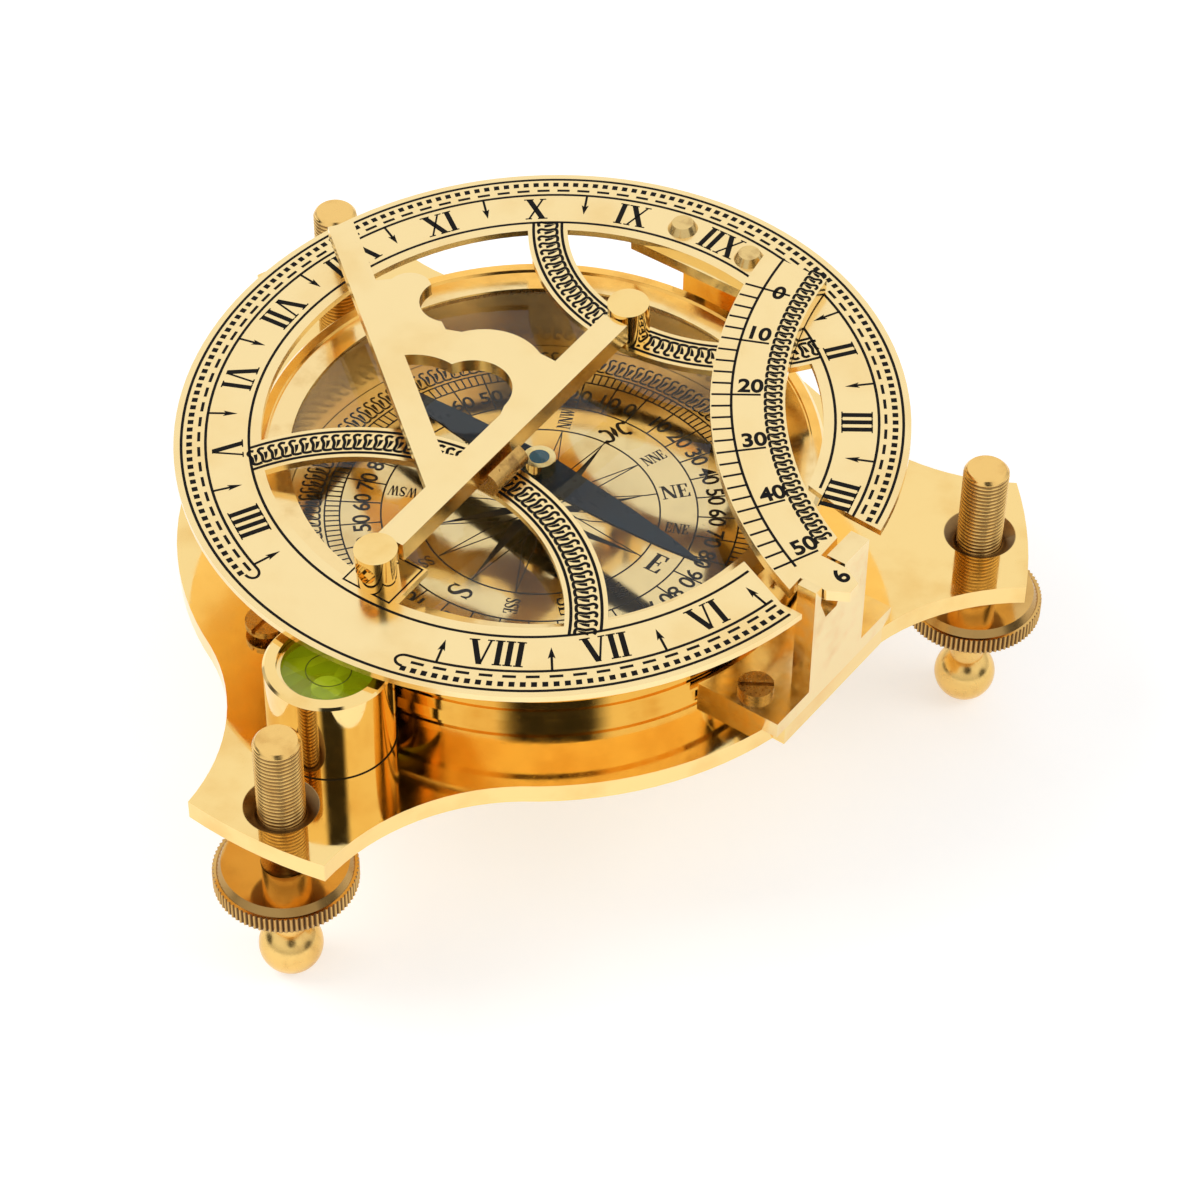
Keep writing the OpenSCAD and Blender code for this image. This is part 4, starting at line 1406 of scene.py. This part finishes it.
@dataclass
class LevellingFeet(SubAssembly):
    """The base and its three threaded feet."""

    FINISHES = {
        BASE_BRASS: ("base_plate",),
        BALL_BRASS: ("foot_s", "foot_e", "foot_w"),
        WHEEL_BRASS: ("wheel_s", "wheel_e", "wheel_w"),
    }

    circle: float = 76.8
    low: float = 21.2
    thread_low: float = 35.6
    thread_seam: float = 0.01
    top: float = 53.8
    radius: float = 4.0
    pitch: float = 0.8
    depth: float = 0.34
    flank: float = 0.8
    chamfer: float = 0.7
    facets: int = 64
    rows_per_pitch: int = 8
    feet: tuple[tuple[str, float, Body], ...] = (
        ("s", -85.0, Body.SOUTH_SCREW),
        ("e", 35.0, Body.EAST_SCREW),
        ("w", 155.0, Body.WEST_SCREW),
    )

    def girth(self, z: float, share: float) -> float:
        """Gives the screw's radius.

        Args:
            z: height.
            share: share of a full turn.

        Returns:
            The radius there.
        """
        if z < self.thread_low:
            return self.radius
        turns = (z - self.thread_low) / self.pitch
        dip = self.depth * (1 - abs(2 * ((turns - share) % 1.0) - 1)) ** self.flank
        bevel = max(0.0, self.chamfer - (self.top - z))
        return self.radius - max(dip * min(1.0, turns), bevel)

    def screw(self, name: str, turn: float, body: Body) -> None:
        """Builds one levelling screw with its thread.

        Args:
            name: last letter of the screw's node.
            turn: direction of its arm.
            body: the body that carries it.
        """
        step = self.pitch / self.rows_per_pitch
        threaded = int((self.top - self.thread_low) / step)
        heights = [self.low, self.thread_low - self.thread_seam]
        heights += [self.thread_low + i * step for i in range(threaded + 1)] + [self.top]
        middle = turned((self.circle, 0), turn)
        points: list[Vector] = []
        for z in heights:
            for share in (k / self.facets for k in range(self.facets)):
                spot = turned((self.girth(z, share), 0), 360 * share, middle)
                points.append(Vector((*spot, z)) * MM)
        n, last = self.facets, len(heights) - 1
        faces: list[tuple[int, ...]] = [tuple(reversed(range(n)))]
        for row in range(0, last * n, n):
            for k in range(n):
                m = (k + 1) % n
                faces.append((row + k, row + m, row + n + m, row + n + k))
        faces.append(tuple(last * n + k for k in range(n)))
        mesh = bpy.data.meshes.new(f"threaded_screw_{name}")
        mesh.from_pydata(points, [], faces)
        for polygon in mesh.polygons:
            polygon.use_smooth = len(polygon.vertices) == 4
        piece = add_piece(mesh, THREAD_BRASS, body)
        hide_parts(f"screw_{name}")

    def build(self) -> None:
        """Builds the three screws."""
        for name, turn, body in self.feet:
            self.screw(name, turn, body)


@dataclass
class Studio:
    """Floor, light and camera of the picture.

    A flag is a dark patch that only reflections show: its direction, the cosines of its soft edge
    and how much light it leaves. A softbox is given by its name, place, size and watts.
    """

    azimuth: float = 35.436
    elevation: float = 44.342
    roll: float = 0.820
    distance: float = 0.62504
    target: Place = (0.019994, -0.008235, 0.0386)
    lens: float = 111.0
    sensor: float = 36.0
    clip: Point = (0.01, 50.0)
    floor_half: float = 4.0
    floor_drop: float = 5e-5
    floor_tones: tuple[Colour, Colour] = ((0.70, 0.70, 0.70), (0.72, 0.72, 0.72))
    floor_cells: float = 30
    floor_glow: float = 0.48
    sky: float = 0.62
    horizon: Point = (-0.05, 0.5)
    horizon_tones: Point = (0.55, 1.0)
    flags: tuple[tuple[Place, Point, float], ...] = (
        ((0.50, -0.55, 0.66), (0.948, 0.982), 0.03),
        ((-0.80, -0.59, 0.12), (0.93, 0.975), 0.10),
        ((0.97, 0.22, 0.12), (0.94, 0.98), 0.15),
    )
    softboxes: tuple[tuple[str, Place, float, float], ...] = (
        ("key_softbox", (-0.80, -0.55, 1.05), 0.8, 7.0),
        ("side_softbox", (0.95, 0.50, 0.80), 0.7, 3.5),
    )
    lamp_target: Place = (0.0, 0.0, 0.04)

    def camera(self) -> None:
        """Makes the camera at the picture's viewpoint."""
        az, el, roll = (math.radians(a) for a in (self.azimuth, self.elevation, self.roll))
        back = Vector((math.sin(az) * math.cos(el), -math.cos(az) * math.cos(el), math.sin(el)))
        level = Vector((math.cos(az), math.sin(az), 0))
        rise = level.cross(-back)
        right = math.cos(roll) * level + math.sin(roll) * rise
        up = math.cos(roll) * rise - math.sin(roll) * level
        data = bpy.data.cameras.new("view")
        data.lens, data.sensor_width = self.lens, self.sensor
        data.clip_start, data.clip_end = self.clip
        camera = bpy.data.objects.new("view", data)
        bpy.context.scene.collection.objects.link(camera)
        turn = Matrix((right, up, back)).transposed().to_4x4()
        camera.matrix_world = Matrix.Translation(Vector(self.target) + back * self.distance) @ turn
        bpy.context.scene.camera = camera

    def floor(self) -> None:
        """Makes the pale floor."""
        h, z = self.floor_half, -self.floor_drop
        mesh = bpy.data.meshes.new("floor")
        mesh.from_pydata([(-h, -h, z), (h, -h, z), (h, h, z), (-h, h, z)], [], [(0, 1, 2, 3)])
        shader = Shader.new("pale_floor")
        tone = shader.remap(shader.noise(self.floor_cells, 3), (0.3, 0.7))
        paper = shader.result("BsdfDiffuse", {"Color": shader.blend(tone, *self.floor_tones)})
        seen = shader.math("MAXIMUM", shader.ray("Is Camera Ray"), shader.ray("Is Glossy Ray"))
        seen = shader.math("MAXIMUM", seen, shader.ray("Is Transmission Ray"))
        lift = shader.math("MULTIPLY", seen, self.floor_glow)
        glow = shader.result("Emission", {"Strength": lift})
        mesh.materials.append(shader.surface(shader.result("AddShader", {0: paper, 1: glow})))
        plane = bpy.data.objects.new("floor", mesh)
        bpy.context.scene.collection.objects.link(plane)

    def world(self) -> None:
        """Makes the white surroundings, darker low down for metal to show its shape."""
        world = bpy.data.worlds.new("studio")
        bpy.context.scene.world = world
        shader = Shader(world)
        tone = shader.remap(shader.upright("Generated"), self.horizon, self.horizon_tones)
        for direction, edge, dark in self.flags:
            pair = {0: shader.place("Generated"), 1: Vector(direction).normalized()}
            cosine = shader.result("VectorMath", pair, "Value", operation="DOT_PRODUCT")
            tone = shader.math("MULTIPLY", tone, shader.remap(cosine, edge, (1.0, dark)))
        mirrored = shader.math(
            "MAXIMUM", shader.ray("Is Glossy Ray"), shader.ray("Is Transmission Ray")
        )
        shown = shader.choose(mirrored, self.sky, tone)
        strength = shader.choose(shader.ray("Is Camera Ray"), shown, 1.0)
        white = {"Color": (1, 1, 1, 1), "Strength": strength}
        shader.surface(shader.result("Background", white))

    def lamps(self) -> None:
        """Makes the soft lamps, which reflections don't show."""
        for name, at, size, watts in self.softboxes:
            data = bpy.data.lights.new(name, "AREA")
            data.size, data.energy = size, watts
            lamp = bpy.data.objects.new(name, data)
            lamp.location = at
            lamp.visible_glossy = False
            aim = Vector(self.lamp_target) - Vector(at)
            lamp.rotation_euler = aim.to_track_quat("-Z", "Y").to_euler()
            bpy.context.scene.collection.objects.link(lamp)

    def build(self) -> None:
        """Makes the whole studio."""
        bpy.context.scene.view_settings.view_transform = "Standard"
        self.camera()
        self.floor()
        self.world()
        self.lamps()


def clear_stage() -> None:
    """Removes what a new Blender file starts with."""
    for thing in list(bpy.data.objects):
        bpy.data.objects.remove(thing)


def main() -> None:
    """Loads the frame and dresses the part, sub-assembly by sub-assembly."""
    logging.basicConfig(level=logging.INFO, format="%(name)s: %(message)s")
    clear_stage()
    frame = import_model()
    nodes: Nodes = frame["nodes"]
    Studio().build()
    ring = HourRing()
    arc = LatitudeArc(ring)
    for group in (LevellingFeet(), CompassDial(), ring, arc, Gnomon(), SpiritLevel()):
        group.dress(nodes)


if __name__ == "__main__":
    main()
